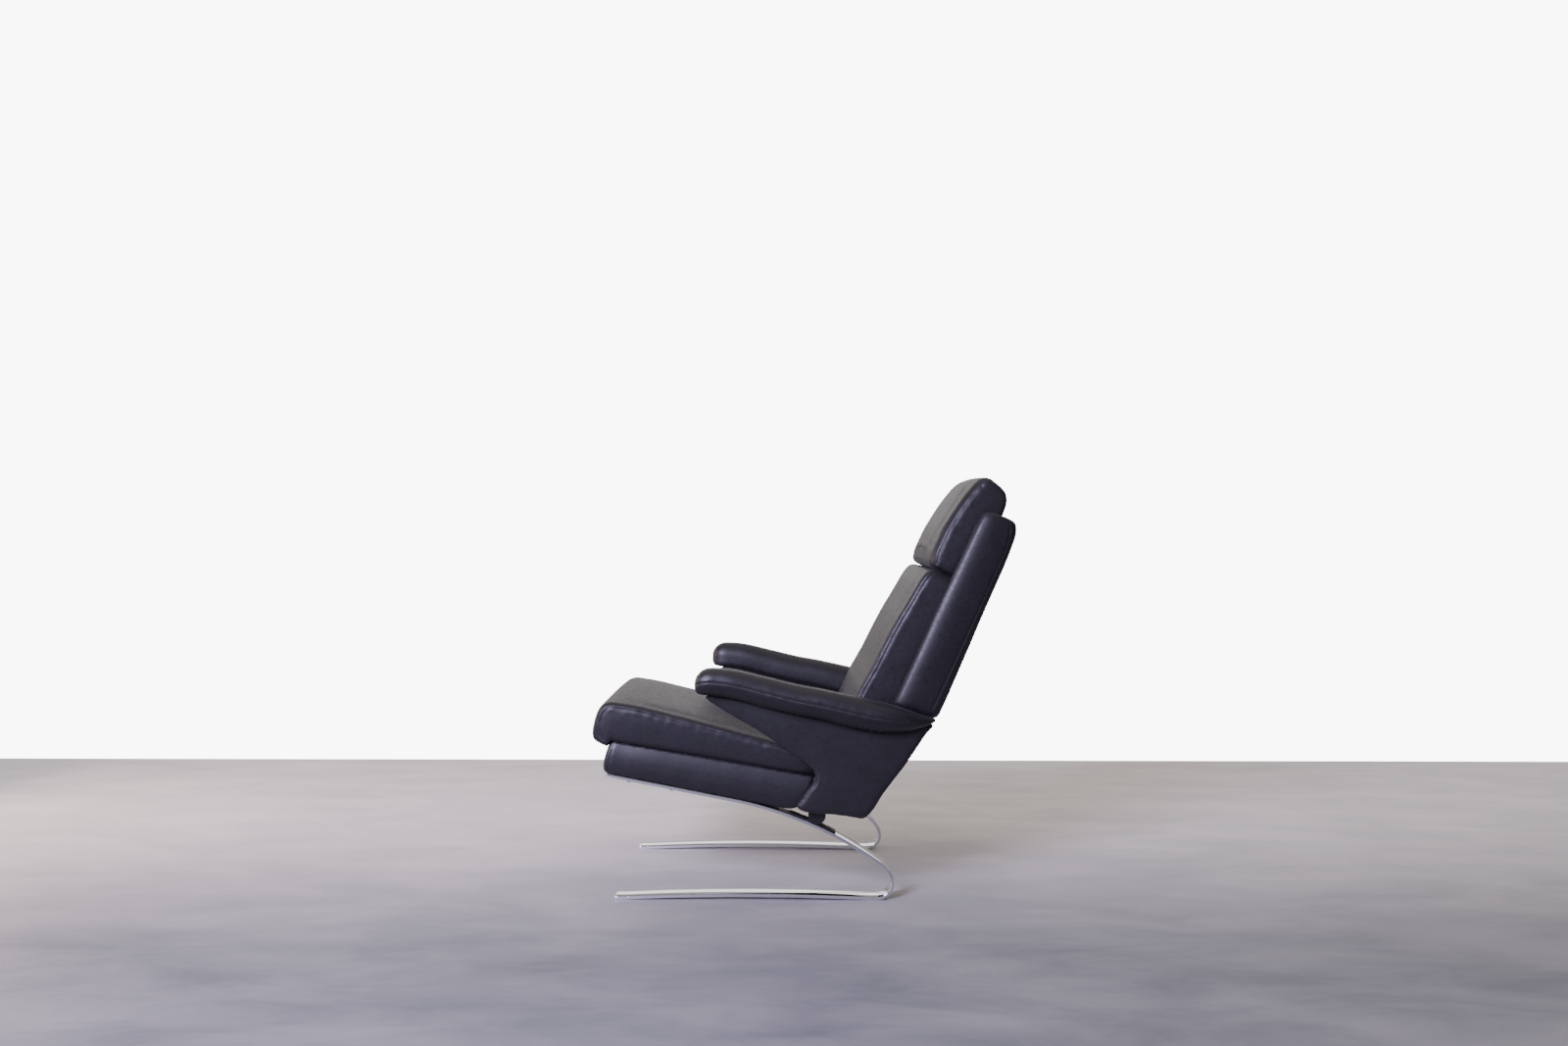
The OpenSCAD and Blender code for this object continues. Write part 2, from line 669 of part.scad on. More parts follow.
// Places of the screws that hold a panel to its plate
panel_screw_shares = [[0.030, 0.120], [0.180, 0.150], [0.300, 0.520]];
panel_screw_d = 5;
panel_screw_len = 20;
module panel_screw_places() {
  for (s = panel_screw_shares) translate([s[0] * side_len, 0, s[1] * side_h]) children();
}

// Places of the bolts that join a plate to an upright, in the back's frame
frame_bolt_d = 8;
frame_bolt_zs = [kink_z * 0.38, kink_z * 0.58];
frame_bolt_head_h = 5;
frame_bolt_len = 30;

// Rear face of the back behind the pivot at height z along the back
shell_rear = shell_front + shell_depth;
function rear_x(z) = shell_rear - max(0, kink_z - z) * tan(kink_turn);
upright_rear = skin_t;
upright_front = skin_t + upright_d;
function behind(z, d) = rear_x(z) - d;

module frame_bolt_places() {
  for (z = frame_bolt_zs) translate([behind(z, skin_t + upright_d / 2), 0, z]) children();
}

module side_plate() {
  color(steel) difference() {
    on_pivot() union() {
      slab_y(plate_outline, plate_inner, plate_inner + plate_t);
      round_y(eye_d / 2, plate_inner, plate_inner + plate_t);
    }
    on_pivot() round_y(pin_d / 2 + turn_fit, plate_inner - overrun, plate_inner + plate_t + overrun);
    on_pivot() panel_screw_places()
      round_y(panel_screw_d / 2 + bolt_fit, plate_inner - overrun, plate_inner + plate_t + overrun);
    on_back() frame_bolt_places()
      round_y(frame_bolt_d / 2 + bolt_fit, plate_inner - overrun, plate_inner + plate_t + overrun);
  }
}
module side_plate_right() { side_plate(); }
module side_plate_left() { left() side_plate(); }

head_room = frame_bolt_head_h + 2 * seat_gap;
module side_panel() {
  y0 = side_inner;
  pocket = plate_inner + plate_t + seat_gap;
  color(leather_side) on_pivot() difference() {
    soft_slab(side_outline, y0, y0 + side_t, side_edge_r);
    slab_y(inset(plate_outline, -soft_gap), y0 - overrun, pocket);
    round_y(eye_d / 2 + soft_gap, y0 - overrun, pocket);
    rotate([0, back_lean, 0]) frame_bolt_places()
      round_y(frame_bolt_d, y0 - overrun, pocket + head_room);
    panel_screw_places() round_y(panel_screw_d / 2 + turn_fit, y0 - overrun, y0 + panel_screw_len);
  }
}
module side_panel_right() { side_panel(); }
module side_panel_left() { left() side_panel(); }

panel_head_h = 1.2;
module panel_screws() {
  color(steel) pair() on_pivot() panel_screw_places() {
    round_y(panel_screw_d / 2, plate_inner - turn_fit, side_inner + panel_screw_len - seat_gap);
    round_y(panel_screw_d, plate_inner - turn_fit - panel_head_h, plate_inner - turn_fit);
  }
}

// Section of an arm from its inner underside over the top to the outside
arm_section_shares = [
  [0.00, 0.35], [0.02, 0.62], [0.10, 0.84], [0.24, 0.96], [0.42, 1.00], [0.62, 0.995],
  [0.80, 0.955], [0.93, 0.84], [0.995, 0.64], [0.99, 0.42], [0.93, 0.25], [0.82, 0.12],
  [0.66, 0.03], [0.50, 0.00], [0.05, 0.00], [0.00, 0.08]];
arm_board_tilt = 13.7;
arm_board_shares = [0.175, 0.555];

module arm_board_shape(slack) {
  x = arm_nose_share * side_len + arm_board_shares[0] * arm_len;
  z = arm_base_share * side_h + arm_board_shares[1] * arm_fall;
  translate([x, 0, z]) rotate([0, arm_board_tilt, 0])
    translate([-slack, side_inner + side_edge_r - slack, -slack])
      cube([arm_board_len + 2 * slack, arm_board_w + 2 * slack, arm_board_t + 2 * slack]);
}

module armrest() {
  rings = [for (s = arm_shares) let (
      y0 = arm_inner + s[3] * arm_w,
      y1 = arm_inner + s[4] * arm_w)
    [for (p = arm_section_shares)
      [arm_x(s), y0 + p[0] * (y1 - y0), arm_low(s) + p[1] * (arm_high(s) - arm_low(s))]]];
  color(leather) on_pivot() difference() {
    skin(rings);
    arm_board_shape(seat_gap);
  }
}
module armrest_right() { armrest(); }
module armrest_left() { left() armrest(); }

module arm_board() {
  color(beech) on_pivot() arm_board_shape(0);
}
module arm_board_right() { arm_board(); }
module arm_board_left() { left() arm_board(); }

// Back frame, in the back's own frame

upright_outer = shell_w / 2 - shell_wall - seat_gap;
upright_inner = upright_outer - upright_w;
frame_low = 0.22 * kink_z;
frame_high = shell_top - top_pad;

// Outline between two depths from the rear face, from z0 to z1
function wall_outline(d0, d1, z0, z1) = [
  [behind(z0, d1), z0], [behind(z0, d0), z0], [behind(kink_z, d0), kink_z],
  [behind(z1, d0), z1], [behind(z1, d1), z1], [behind(kink_z, d1), kink_z]];

module back_upright() {
  color(beech) on_back() difference() {
    slab_y(wall_outline(upright_rear, upright_front, frame_low, frame_high), upright_inner, upright_outer);
    frame_bolt_places() round_y(frame_bolt_d / 2 + turn_fit, upright_inner - overrun, upright_outer + overrun);
  }
}
module back_upright_right() { back_upright(); }
module back_upright_left() { left() back_upright(); }

cross_h = 1.1 * upright_d;
module back_top_rail() {
  color(beech) on_back() difference() {
    translate([behind(shell_top, upright_front), -upright_inner, frame_high - cross_h])
      cube([upright_d, 2 * upright_inner, cross_h]);
    head_screw_places() rotate([0, 90, 0])
      cylinder(d = head_screw_d + 2 * turn_fit, h = head_screw_len, $fn = 24);
  }
}
module back_lower_rail() {
  color(beech) on_back() slab_y([
    [behind(frame_low, upright_front), frame_low], [behind(frame_low, upright_rear), frame_low],
    [behind(frame_low + cross_h, upright_rear), frame_low + cross_h],
    [behind(frame_low + cross_h, upright_front), frame_low + cross_h]],
    -upright_inner, upright_inner);
}

module frame_bolts() {
  color(steel) pair() on_back() frame_bolt_places() {
    round_y(frame_bolt_d / 2, upright_outer - frame_bolt_len, plate_inner + plate_t + turn_fit);
    round_y(frame_bolt_d * 0.8, plate_inner + plate_t + turn_fit,
      plate_inner + plate_t + turn_fit + frame_bolt_head_h);
  }
}
module frame_spacers() {
  color(steel) pair() on_back() frame_bolt_places() difference() {
    round_y(frame_bolt_d, upright_outer + turn_fit, plate_inner - turn_fit);
    round_y(frame_bolt_d / 2 + turn_fit, upright_outer - overrun, plate_inner + overrun);
  }
}

back_strap_share = [0.10, 0.96];
module back_straps_set() {
  low = frame_low + back_strap_share[0] * (frame_high - frame_low);
  high = kink_z + back_strap_share[1] * (back_cushion_z + back_cushion_h - kink_z - back_strap_w);
  color(webbing) on_back() for (i = [0:back_straps - 1]) let (
      z = low + i * (high - low) / (back_straps - 1),
      turn = z + back_strap_w / 2 < kink_z ? kink_turn : 0,
      d = upright_front + seat_gap,
      clear_z = (turn == 0 && z < kink_z) ? kink_z : z)
    translate([behind(clear_z, d), 0, clear_z]) rotate([0, turn, 0])
      translate([-strap_t, -upright_outer, 0]) cube([strap_t, 2 * upright_outer, back_strap_w]);
}

// Back shell: a tray above the arms and a rear wall between the side panels

shell_nose = 9;
shell_belly = 1;
shell_base_fall = 18;
shell_bulge = 13;
// Back of the tray from its foot up: height share and share of the bulge
shell_back_shares = [
  [0.018, 1.00], [0.164, 0.95], [0.309, 0.80], [0.500, 0.54], [0.648, 0.42],
  [0.778, 0.31], [0.893, 0.04], [0.956, -0.38], [0.988, -0.85], [1.000, -1.65]];
shell_outline = concat(
  [[shell_front, kink_z - shell_base_fall],
   [shell_rear + shell_bulge - shell_nose / 2, kink_z - shell_nose / 2]],
  [for (s = shell_back_shares)
    [shell_rear + s[1] * shell_bulge, kink_z + s[0] * (shell_top - kink_z)]],
  [[shell_front + 4 * shell_nose, shell_top],
   [shell_front + 1.6 * shell_nose, shell_top - shell_nose / 2],
   [shell_front + shell_nose / 2, shell_top - 1.6 * shell_nose],
   [shell_front, shell_top - 4.5 * shell_nose]]);
well_rear = skin_t - seat_gap;
module back_shell() {
  lower_w = side_inner - soft_gap;
  wall_w = shell_w / 2 - shell_wall;
  low = frame_low - skin_t;
  crest = frame_high + seat_gap;
  lip = upright_front + strap_t + 2 * seat_gap;
  color(leather_side) on_back() difference() {
    union() {
      soft_slab(shell_outline, -shell_w / 2, shell_w / 2, shell_edge_r);
      slab_y([
        [behind(low, lip), low], [behind(low, 0), low], [behind(kink_z, 0), kink_z],
        [behind(kink_z + skin_t, shell_belly), kink_z + skin_t],
        [behind(kink_z + skin_t, lip), kink_z + skin_t],
        [behind(kink_z, lip), kink_z]], -lower_w, lower_w);
    }
    slab_y([
      [behind(frame_low, 4 * shell_depth), frame_low - seat_gap],
      [behind(frame_low, well_rear), frame_low - seat_gap],
      [behind(kink_z, well_rear), kink_z], [behind(crest, well_rear), crest],
      [behind(crest, 4 * shell_depth), crest]], -wall_w, wall_w);
    pair() {
      frame_bolt_places() round_y(frame_bolt_d + soft_gap, wall_w - overrun, lower_w + overrun);
      rotate([0, -back_lean, 0]) panel_screw_places()
        round_y(panel_screw_d + soft_gap, wall_w - overrun, lower_w + overrun);
    }
    slab_y([
      [behind(crest, 4 * shell_depth), crest - overrun], [behind(crest, lip), crest - overrun],
      [behind(crest, lip), 2 * shell_top], [behind(crest, 4 * shell_depth), 2 * shell_top]],
      -wall_w, wall_w);
  }
}

// Back cushion: z as a share of its height, front and rear as shares of its
// depth from the rear face, then the share of the width
back_cushion_shares = [
  [0.000, 0.420, 0.24, 0.90], [0.006, 0.530, 0.12, 0.945], [0.018, 0.598, 0.04, 0.975],
  [0.040, 0.628, 0.00, 0.990], [0.065, 0.672, 0.00, 0.996], [0.106, 0.738, 0.00, 1.000],
  [0.130, 0.775, 0.00, 1.000], [0.200, 0.818, 0.00, 0.998], [0.250, 0.847, 0.00, 0.996],
  [0.340, 0.906, 0.00, 0.994], [0.444, 0.963, 0.00, 0.994], [0.520, 0.940, 0.00, 0.994],
  [0.610, 0.930, 0.00, 0.994], [0.700, 0.914, 0.00, 0.996], [0.755, 0.899, 0.00, 0.998],
  [0.814, 0.856, 0.00, 1.000], [0.880, 0.834, 0.00, 1.000], [0.919, 0.820, 0.00, 0.998],
  [0.957, 0.784, 0.00, 0.992], [0.985, 0.705, 0.03, 0.975], [0.996, 0.58, 0.12, 0.94],
  [1.000, 0.47, 0.25, 0.90]];
cushion_rear = upright_front + strap_t + 3 * seat_gap;
module stuffed_pad(shares, z0, h, d, w, square) {
  section = pad_section(square);
  rings = [for (s = shares) let (
      z = z0 + s[0] * h,
      base = behind(z, cushion_rear),
      front = base - s[1] * d,
      rear = base - s[2] * d,
      half = s[3] * w / 2)
    [for (p = section) [(front + rear) / 2 + (rear - front) / 2 * p[0], -half * p[1], z]]];
  skin(rings);
}
back_cushion_square = 0.4;
module back_cushion() {
  color(leather) on_back()
    stuffed_pad(back_cushion_shares, back_cushion_z, back_cushion_h, back_cushion_d, back_cushion_w,
      back_cushion_square);
}

// Headrest, held by a covered board that closes the back frame above the
// straps and is screwed to the top rail

headrest_z = back_cushion_z + back_cushion_h + headrest_gap;
headrest_shares = [
  [0.000, 0.72, 0.14, 0.88], [0.012, 0.82, 0.05, 0.945], [0.035, 0.90, 0.00, 0.98],
  [0.080, 0.955, 0.00, 0.995], [0.170, 0.985, 0.00, 1.00], [0.350, 0.985, 0.00, 1.00],
  [0.520, 0.950, 0.00, 1.00], [0.680, 0.900, 0.00, 1.00], [0.810, 0.840, 0.01, 1.00],
  [0.900, 0.785, 0.065, 0.995], [0.950, 0.740, 0.16, 0.985], [0.980, 0.700, 0.32, 0.965],
  [1.000, 0.620, 0.46, 0.94]];
headrest_square = 0.5;
head_board_t = 4;
head_board_w = shell_w - 2 * (shell_wall + seat_gap);
head_screw_d = 5;
head_screw_len = 24;
module head_screw_places() {
  for (i = [-1:1])
    translate([behind(shell_top, upright_front), i * head_board_w / 3, frame_high - cross_h / 2]) children();
}

module headrest_board() {
  color(leather_side) on_back() difference() {
    translate([behind(shell_top, upright_front + head_board_t + turn_fit), -head_board_w / 2, headrest_z])
      cube([head_board_t, head_board_w, frame_high - headrest_z]);
    head_screw_places() rotate([0, -90, 0])
      cylinder(d = head_screw_d + 2 * turn_fit, h = 2 * (head_board_t + overrun), center = true, $fn = 24);
  }
}

head_screw_head_h = 2.4;
module headrest_screws() {
  color(steel) on_back() head_screw_places() {
    rotate([0, 90, 0]) translate([0, 0, -head_board_t - 2 * turn_fit])
      cylinder(d = head_screw_d, h = head_board_t + head_screw_len - overrun, $fn = 24);
    rotate([0, -90, 0]) translate([0, 0, head_board_t + 2 * turn_fit])
      cylinder(d = 2 * head_screw_d, h = head_screw_head_h, $fn = 24);
  }
}

module headrest_cushion() {
  pocket = head_board_t + turn_fit + seat_gap;
  color(leather) on_back() difference() {
    stuffed_pad(headrest_shares, headrest_z, headrest_h, headrest_d, headrest_w, headrest_square);
    translate([behind(shell_top, upright_front + pocket), -head_board_w / 2, headrest_z - overrun])
      cube([shell_depth, head_board_w, frame_high - headrest_z + overrun + seat_gap]);
    head_screw_places() rotate([0, -90, 0])
      cylinder(r = head_screw_d + soft_gap, h = pocket + head_screw_head_h + seat_gap, $fn = 24);
  }
}

runner_left();
runner_right();
seat_side_rail_left();
seat_side_rail_right();
seat_front_rail();
seat_rear_rail();
seat_corner_blocks();
seat_straps_set();
seat_deck();
dust_cover();
seat_box();
seat_cushion();
runner_bolts();
rail_inserts();
pivot_bracket_left();
pivot_bracket_right();
pivot_bush_left();
pivot_bush_right();
bracket_screws();
pivot_pin_left();
pivot_pin_right();
pin_clips();
side_plate_left();
side_plate_right();
side_panel_left();
side_panel_right();
panel_screws();
arm_board_left();
arm_board_right();
armrest_left();
armrest_right();
back_upright_left();
back_upright_right();
back_top_rail();
back_lower_rail();
frame_bolts();
frame_spacers();
back_straps_set();
back_shell();
back_cushion();
headrest_board();
headrest_screws();
headrest_cushion();
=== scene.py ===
import json
import math

import bmesh
import bpy
import numpy as np
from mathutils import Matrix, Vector, kdtree, noise
from mathutils.bvhtree import BVHTree


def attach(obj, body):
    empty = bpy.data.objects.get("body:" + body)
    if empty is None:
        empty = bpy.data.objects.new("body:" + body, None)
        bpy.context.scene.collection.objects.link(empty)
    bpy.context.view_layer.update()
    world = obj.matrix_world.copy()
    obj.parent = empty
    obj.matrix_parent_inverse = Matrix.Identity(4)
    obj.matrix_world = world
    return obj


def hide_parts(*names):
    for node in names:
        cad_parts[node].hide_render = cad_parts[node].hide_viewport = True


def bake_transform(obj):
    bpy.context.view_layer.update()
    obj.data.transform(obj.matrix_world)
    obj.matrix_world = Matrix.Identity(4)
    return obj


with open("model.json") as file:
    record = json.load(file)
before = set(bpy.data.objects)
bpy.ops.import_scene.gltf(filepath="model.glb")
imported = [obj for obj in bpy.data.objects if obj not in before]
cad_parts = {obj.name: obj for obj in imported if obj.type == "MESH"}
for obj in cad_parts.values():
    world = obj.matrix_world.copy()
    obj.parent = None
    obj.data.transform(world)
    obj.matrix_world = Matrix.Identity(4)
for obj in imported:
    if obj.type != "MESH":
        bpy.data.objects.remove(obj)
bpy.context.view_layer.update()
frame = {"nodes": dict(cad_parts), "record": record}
nodes = frame["nodes"]
scene = bpy.context.scene
mm = 0.001


# Small helpers

def hexToLinear(code):
    out = []
    for i in (1, 3, 5):
        c = int(code[i:i + 2], 16) / 255
        out.append(c / 12.92 if c <= 0.04045 else ((c + 0.055) / 1.055) ** 2.4)
    return (*out, 1.0)


def addNode(tree, kind, settings=None, links=None):
    # settings: attribute or input socket to value; links: input socket to output socket
    node = tree.nodes.new("ShaderNode" + kind)
    for key, value in (settings or {}).items():
        if isinstance(key, str) and hasattr(node, key):
            setattr(node, key, value)
        else:
            node.inputs[key].default_value = value
    for key, source in (links or {}).items():
        tree.links.new(source, node.inputs[key])
    return node


def startMaterial(name):
    mat = bpy.data.materials.new(name)
    mat.use_nodes = True
    tree = mat.node_tree
    tree.nodes.clear()
    return mat, tree, addNode(tree, "TexCoord").outputs["Object"]


def finished(mat, tree, surface):
    addNode(tree, "OutputMaterial", None, {"Surface": surface.outputs["BSDF"]})
    return mat


def twoToned(mat, tree, pattern, tones, relief, settings):
    # a tone and a relief that follow one pattern; relief: strength and distance in metres
    tone = addNode(tree, "Mix", {"data_type": "RGBA", 6: hexToLinear(tones[0]),
                                 7: hexToLinear(tones[1])}, {0: pattern})
    bump = addNode(tree, "Bump", {"Strength": relief[0], "Distance": relief[1]},
                   {"Height": pattern})
    surface = addNode(tree, "BsdfPrincipled", settings,
                      {"Base Color": tone.outputs[2], "Normal": bump.outputs["Normal"]})
    return finished(mat, tree, surface)


def monotone(xs, ys):
    # smooth curve through a table's points without overshoot
    xs, ys = np.asarray(xs, float), np.asarray(ys, float)
    h = np.diff(xs)
    d = np.diff(ys) / h
    m = np.zeros(len(xs))
    m[0], m[-1] = d[0], d[-1]
    for i in range(1, len(xs) - 1):
        if d[i - 1] * d[i] > 0:
            w1, w2 = 2 * h[i] + h[i - 1], h[i] + 2 * h[i - 1]
            m[i] = (w1 + w2) / (w1 / d[i - 1] + w2 / d[i])

    def at(x):
        i = np.clip(np.searchsorted(xs, x) - 1, 0, len(xs) - 2)
        t = (x - xs[i]) / h[i]
        return (ys[i] * (1 + 2 * t) * (1 - t) ** 2 + h[i] * m[i] * t * (1 - t) ** 2
                + ys[i + 1] * t * t * (3 - 2 * t) + h[i] * m[i + 1] * t * t * (t - 1))
    return at


def finerRows(rows, span, step):
    # rows of shares with the place first, made denser to a step in mm
    cols = list(zip(*rows))
    curves = [monotone(cols[0], c) for c in cols[1:]]
    places = []
    for a, b in zip(cols[0][:-1], cols[0][1:]):
        n = max(2, math.ceil((b - a) * span / step))
        places += [a + (b - a) * i / n for i in range(n)]
    places.append(cols[0][-1])
    return [[p] + [float(c(p)) for c in curves] for p in places]


def runOf(pts):
    # distance along a line of points, from its first to each
    return np.concatenate([[0], np.cumsum(np.linalg.norm(np.diff(pts, axis=0), axis=1))])


def closedCurve(points, step):
    # Catmull-Rom through a closed outline, then equal steps in mm
    pts = [np.array(p, float) for p in points]
    n = len(pts)
    fine = []
    for i in range(n):
        p0, p1, p2, p3 = pts[i - 1], pts[i], pts[(i + 1) % n], pts[(i + 2) % n]
        k0, k1 = np.linalg.norm(p1 - p0) ** 0.5, np.linalg.norm(p2 - p1) ** 0.5
        k2 = np.linalg.norm(p3 - p2) ** 0.5
        m1 = ((p1 - p0) / k0 - (p2 - p0) / (k0 + k1) + (p2 - p1) / k1) * k1
        m2 = ((p2 - p1) / k1 - (p3 - p1) / (k1 + k2) + (p3 - p2) / k2) * k1
        for j in range(12):
            t = j / 12
            fine.append(p1 * (1 + 2 * t) * (1 - t) ** 2 + m1 * t * (1 - t) ** 2
                        + p2 * t * t * (3 - 2 * t) + m2 * t * t * (t - 1))
    fine = np.array(fine + [fine[0]])
    run = runOf(fine)
    count = max(8, round(run[-1] / step))
    at = np.linspace(0, run[-1], count, endpoint=False)
    return np.stack([np.interp(at, run, fine[:, k]) for k in range(fine.shape[1])], axis=1)


def openCurve(points, step):
    # the same for an open line
    pts = np.array(points, float)
    run = runOf(pts)
    curves = [monotone(run, pts[:, k]) for k in range(pts.shape[1])]
    count = max(2, round(run[-1] / step) + 1)
    return np.array([[float(c(t)) for c in curves] for t in np.linspace(0, run[-1], count)])


def meshObject(name, verts, faces):
    mesh = bpy.data.meshes.new(name)
    mesh.from_pydata([tuple(v) for v in verts], [], faces)
    mesh.validate()
    obj = bpy.data.objects.new(name, mesh)
    scene.collection.objects.link(obj)
    bm = bmesh.new()
    bm.from_mesh(mesh)
    bmesh.ops.recalc_face_normals(bm, faces=bm.faces)
    bm.to_mesh(mesh)
    bm.free()
    return obj


def skinRings(name, rings):
    # closed mesh over rings of equal counts, points in metres
    m = len(rings[0])
    verts = [p for ring in rings for p in ring]
    faces = []
    for j in range(len(rings) - 1):
        for i in range(m):
            k = (i + 1) % m
            faces.append((j * m + i, j * m + k, (j + 1) * m + k, (j + 1) * m + i))
    for j in (0, len(rings) - 1):
        verts.append(np.mean(rings[j], axis=0))
        faces += [(j * m + i, j * m + (i + 1) % m, len(verts) - 1) for i in range(m)]
    return meshObject(name, verts, faces)


def slab(name, outline, y0, y1, place):
    # flat slab across the chair on an outline, through one of the frames below
    n = len(outline)
    verts = [place(p[0], y, p[1]) for y in (y0, y1) for p in outline]
    faces = [(i, (i + 1) % n, n + (i + 1) % n, n + i) for i in range(n)]
    faces += [tuple(range(n)), tuple(range(2 * n - 1, n - 1, -1))]
    return meshObject(name, verts, faces)


def readVectors(mesh, key):
    out = np.empty(len(mesh.vertices) * 3)
    mesh.vertices.foreach_get(key, out)
    return out.reshape(-1, 3)


def getPoints(obj):
    return readVectors(obj.data, "co")


def setPoints(obj, co):
    obj.data.vertices.foreach_set("co", np.ascontiguousarray(co).ravel())
    obj.data.update()


def getNormals(obj):
    return readVectors(obj.data, "normal")


def bake(obj):
    # apply every modifier
    graph = bpy.context.evaluated_depsgraph_get()
    mesh = bpy.data.meshes.new_from_object(obj.evaluated_get(graph))
    old = obj.data
    obj.modifiers.clear()
    obj.data = mesh
    bpy.data.meshes.remove(old)
    mesh.name = obj.name


def remesh(obj, voxel, smooth=0):
    mod = obj.modifiers.new("even mesh", "REMESH")
    mod.mode = "VOXEL"
    mod.voxel_size = voxel * mm
    if smooth:
        relax = obj.modifiers.new("soft edges", "SMOOTH")
        relax.factor = 0.5
        relax.iterations = smooth
    bake(obj)


def subdivide(obj, levels=1):
    mod = obj.modifiers.new("finer", "SUBSURF")
    mod.levels = mod.render_levels = levels
    bake(obj)


def cut(obj, tool, operation="DIFFERENCE"):
    mod = obj.modifiers.new("cut", "BOOLEAN")
    mod.operation, mod.object, mod.solver = operation, tool, "EXACT"
    mod.use_self = True
    bake(obj)
    bpy.data.objects.remove(tool)


def hand(side):
    return "right" if side > 0 else "left"


def smoothShade(obj):
    obj.data.polygons.foreach_set("use_smooth", [True] * len(obj.data.polygons))
    obj.data.update()


# The chair's own frames, in mm, as in the CAD

frames = {
    "seatOrigin": (-481.188, 306.474), "seatSlope": 11.0,
    "pivot": (31.5, 209.062), "backLean": 25.0,
    "kinkTurn": 10.0, "kinkHeight": 337.0, "shellRear": 151.0,
}


def turned(origin, degrees):
    c, s = math.cos(math.radians(degrees)), math.sin(math.radians(degrees))

    def place(x, y, z):
        return ((origin[0] + x * c + z * s) * mm, y * mm, (origin[1] - x * s + z * c) * mm)
    return place


seatPoint = turned(frames["seatOrigin"], frames["seatSlope"])
backPoint = turned(frames["pivot"], frames["backLean"])
sidePoint = turned(frames["pivot"], 0.0)


def shellBehind(z):
    # rear face of the back, with its kink
    below = max(0.0, frames["kinkHeight"] - z)
    return frames["shellRear"] - below * math.tan(math.radians(frames["kinkTurn"]))


def padRing(half, low, high, topRound, lowRound, bulge, crown):
    # section of a boxed cushion as (across, up): flat faces, round edges, a little crown
    tall = high - low
    rt, rl = min(topRound, 0.48 * tall, 0.9 * half), min(lowRound, 0.48 * tall, 0.9 * half)
    pts = []
    for a in np.linspace(-90, 0, 9):
        pts.append((half - rl + rl * math.cos(math.radians(a)),
                    low + rl + rl * math.sin(math.radians(a))))
    for t in np.linspace(0, 1, 8)[1:-1]:
        pts.append((half, low + rl + (tall - rl - rt) * t))
    for a in np.linspace(0, 90, 9):
        pts.append((half - rt + rt * math.cos(math.radians(a)),
                    high - rt + rt * math.sin(math.radians(a))))
    for t in np.linspace(0, 1, 14)[1:-1]:
        pts.append(((half - rt) * (1 - 2 * t), high))
    mirrored = [(-p[0], p[1]) for p in pts[:9 + 6 + 9]][::-1]
    pts += mirrored
    for t in np.linspace(0, 1, 14)[1:-1]:
        pts.append(((half - rl) * (2 * t - 1), low))
    mid = (low + high) / 2
    out = []
    for across, up in pts:
        rise = (up - mid) / max(tall / 2, 1e-6)
        widen = bulge * (1 - rise * rise) * (abs(across) / half) ** 4
        lift = -crown * (across / half) ** 2 * max(rise, 0)
        out.append((across + math.copysign(widen, across), up + lift))
    return out


# Soft work: stuffing, seams and stitches

def nearest(points, tree):
    dist = np.empty(len(points))
    index = np.empty(len(points), int)
    for i, p in enumerate(points):
        _, index[i], dist[i] = tree.find(p)
    return dist, index


def treeOf(points):
    tree = kdtree.KDTree(len(points))
    for i, p in enumerate(points):
        tree.insert(p, i)
    tree.balance()
    return tree


def evened(obj, field, rounds):
    # averages a field of vectors over neighbouring points
    edges = np.empty(len(obj.data.edges) * 2, int)
    obj.data.edges.foreach_get("vertices", edges)
    edges = edges.reshape(-1, 2)
    count = np.bincount(edges.ravel(), minlength=len(field)).astype(float)[:, None]
    for _ in range(rounds):
        total = np.zeros_like(field)
        np.add.at(total, edges[:, 0], field[edges[:, 1]])
        np.add.at(total, edges[:, 1], field[edges[:, 0]])
        field = 0.5 * field + 0.5 * total / np.maximum(count, 1)
    return field


def grow(obj, amount):
    # makes up for what the remesh and its smoothing take off
    setPoints(obj, getPoints(obj) + getNormals(obj) * amount * mm)


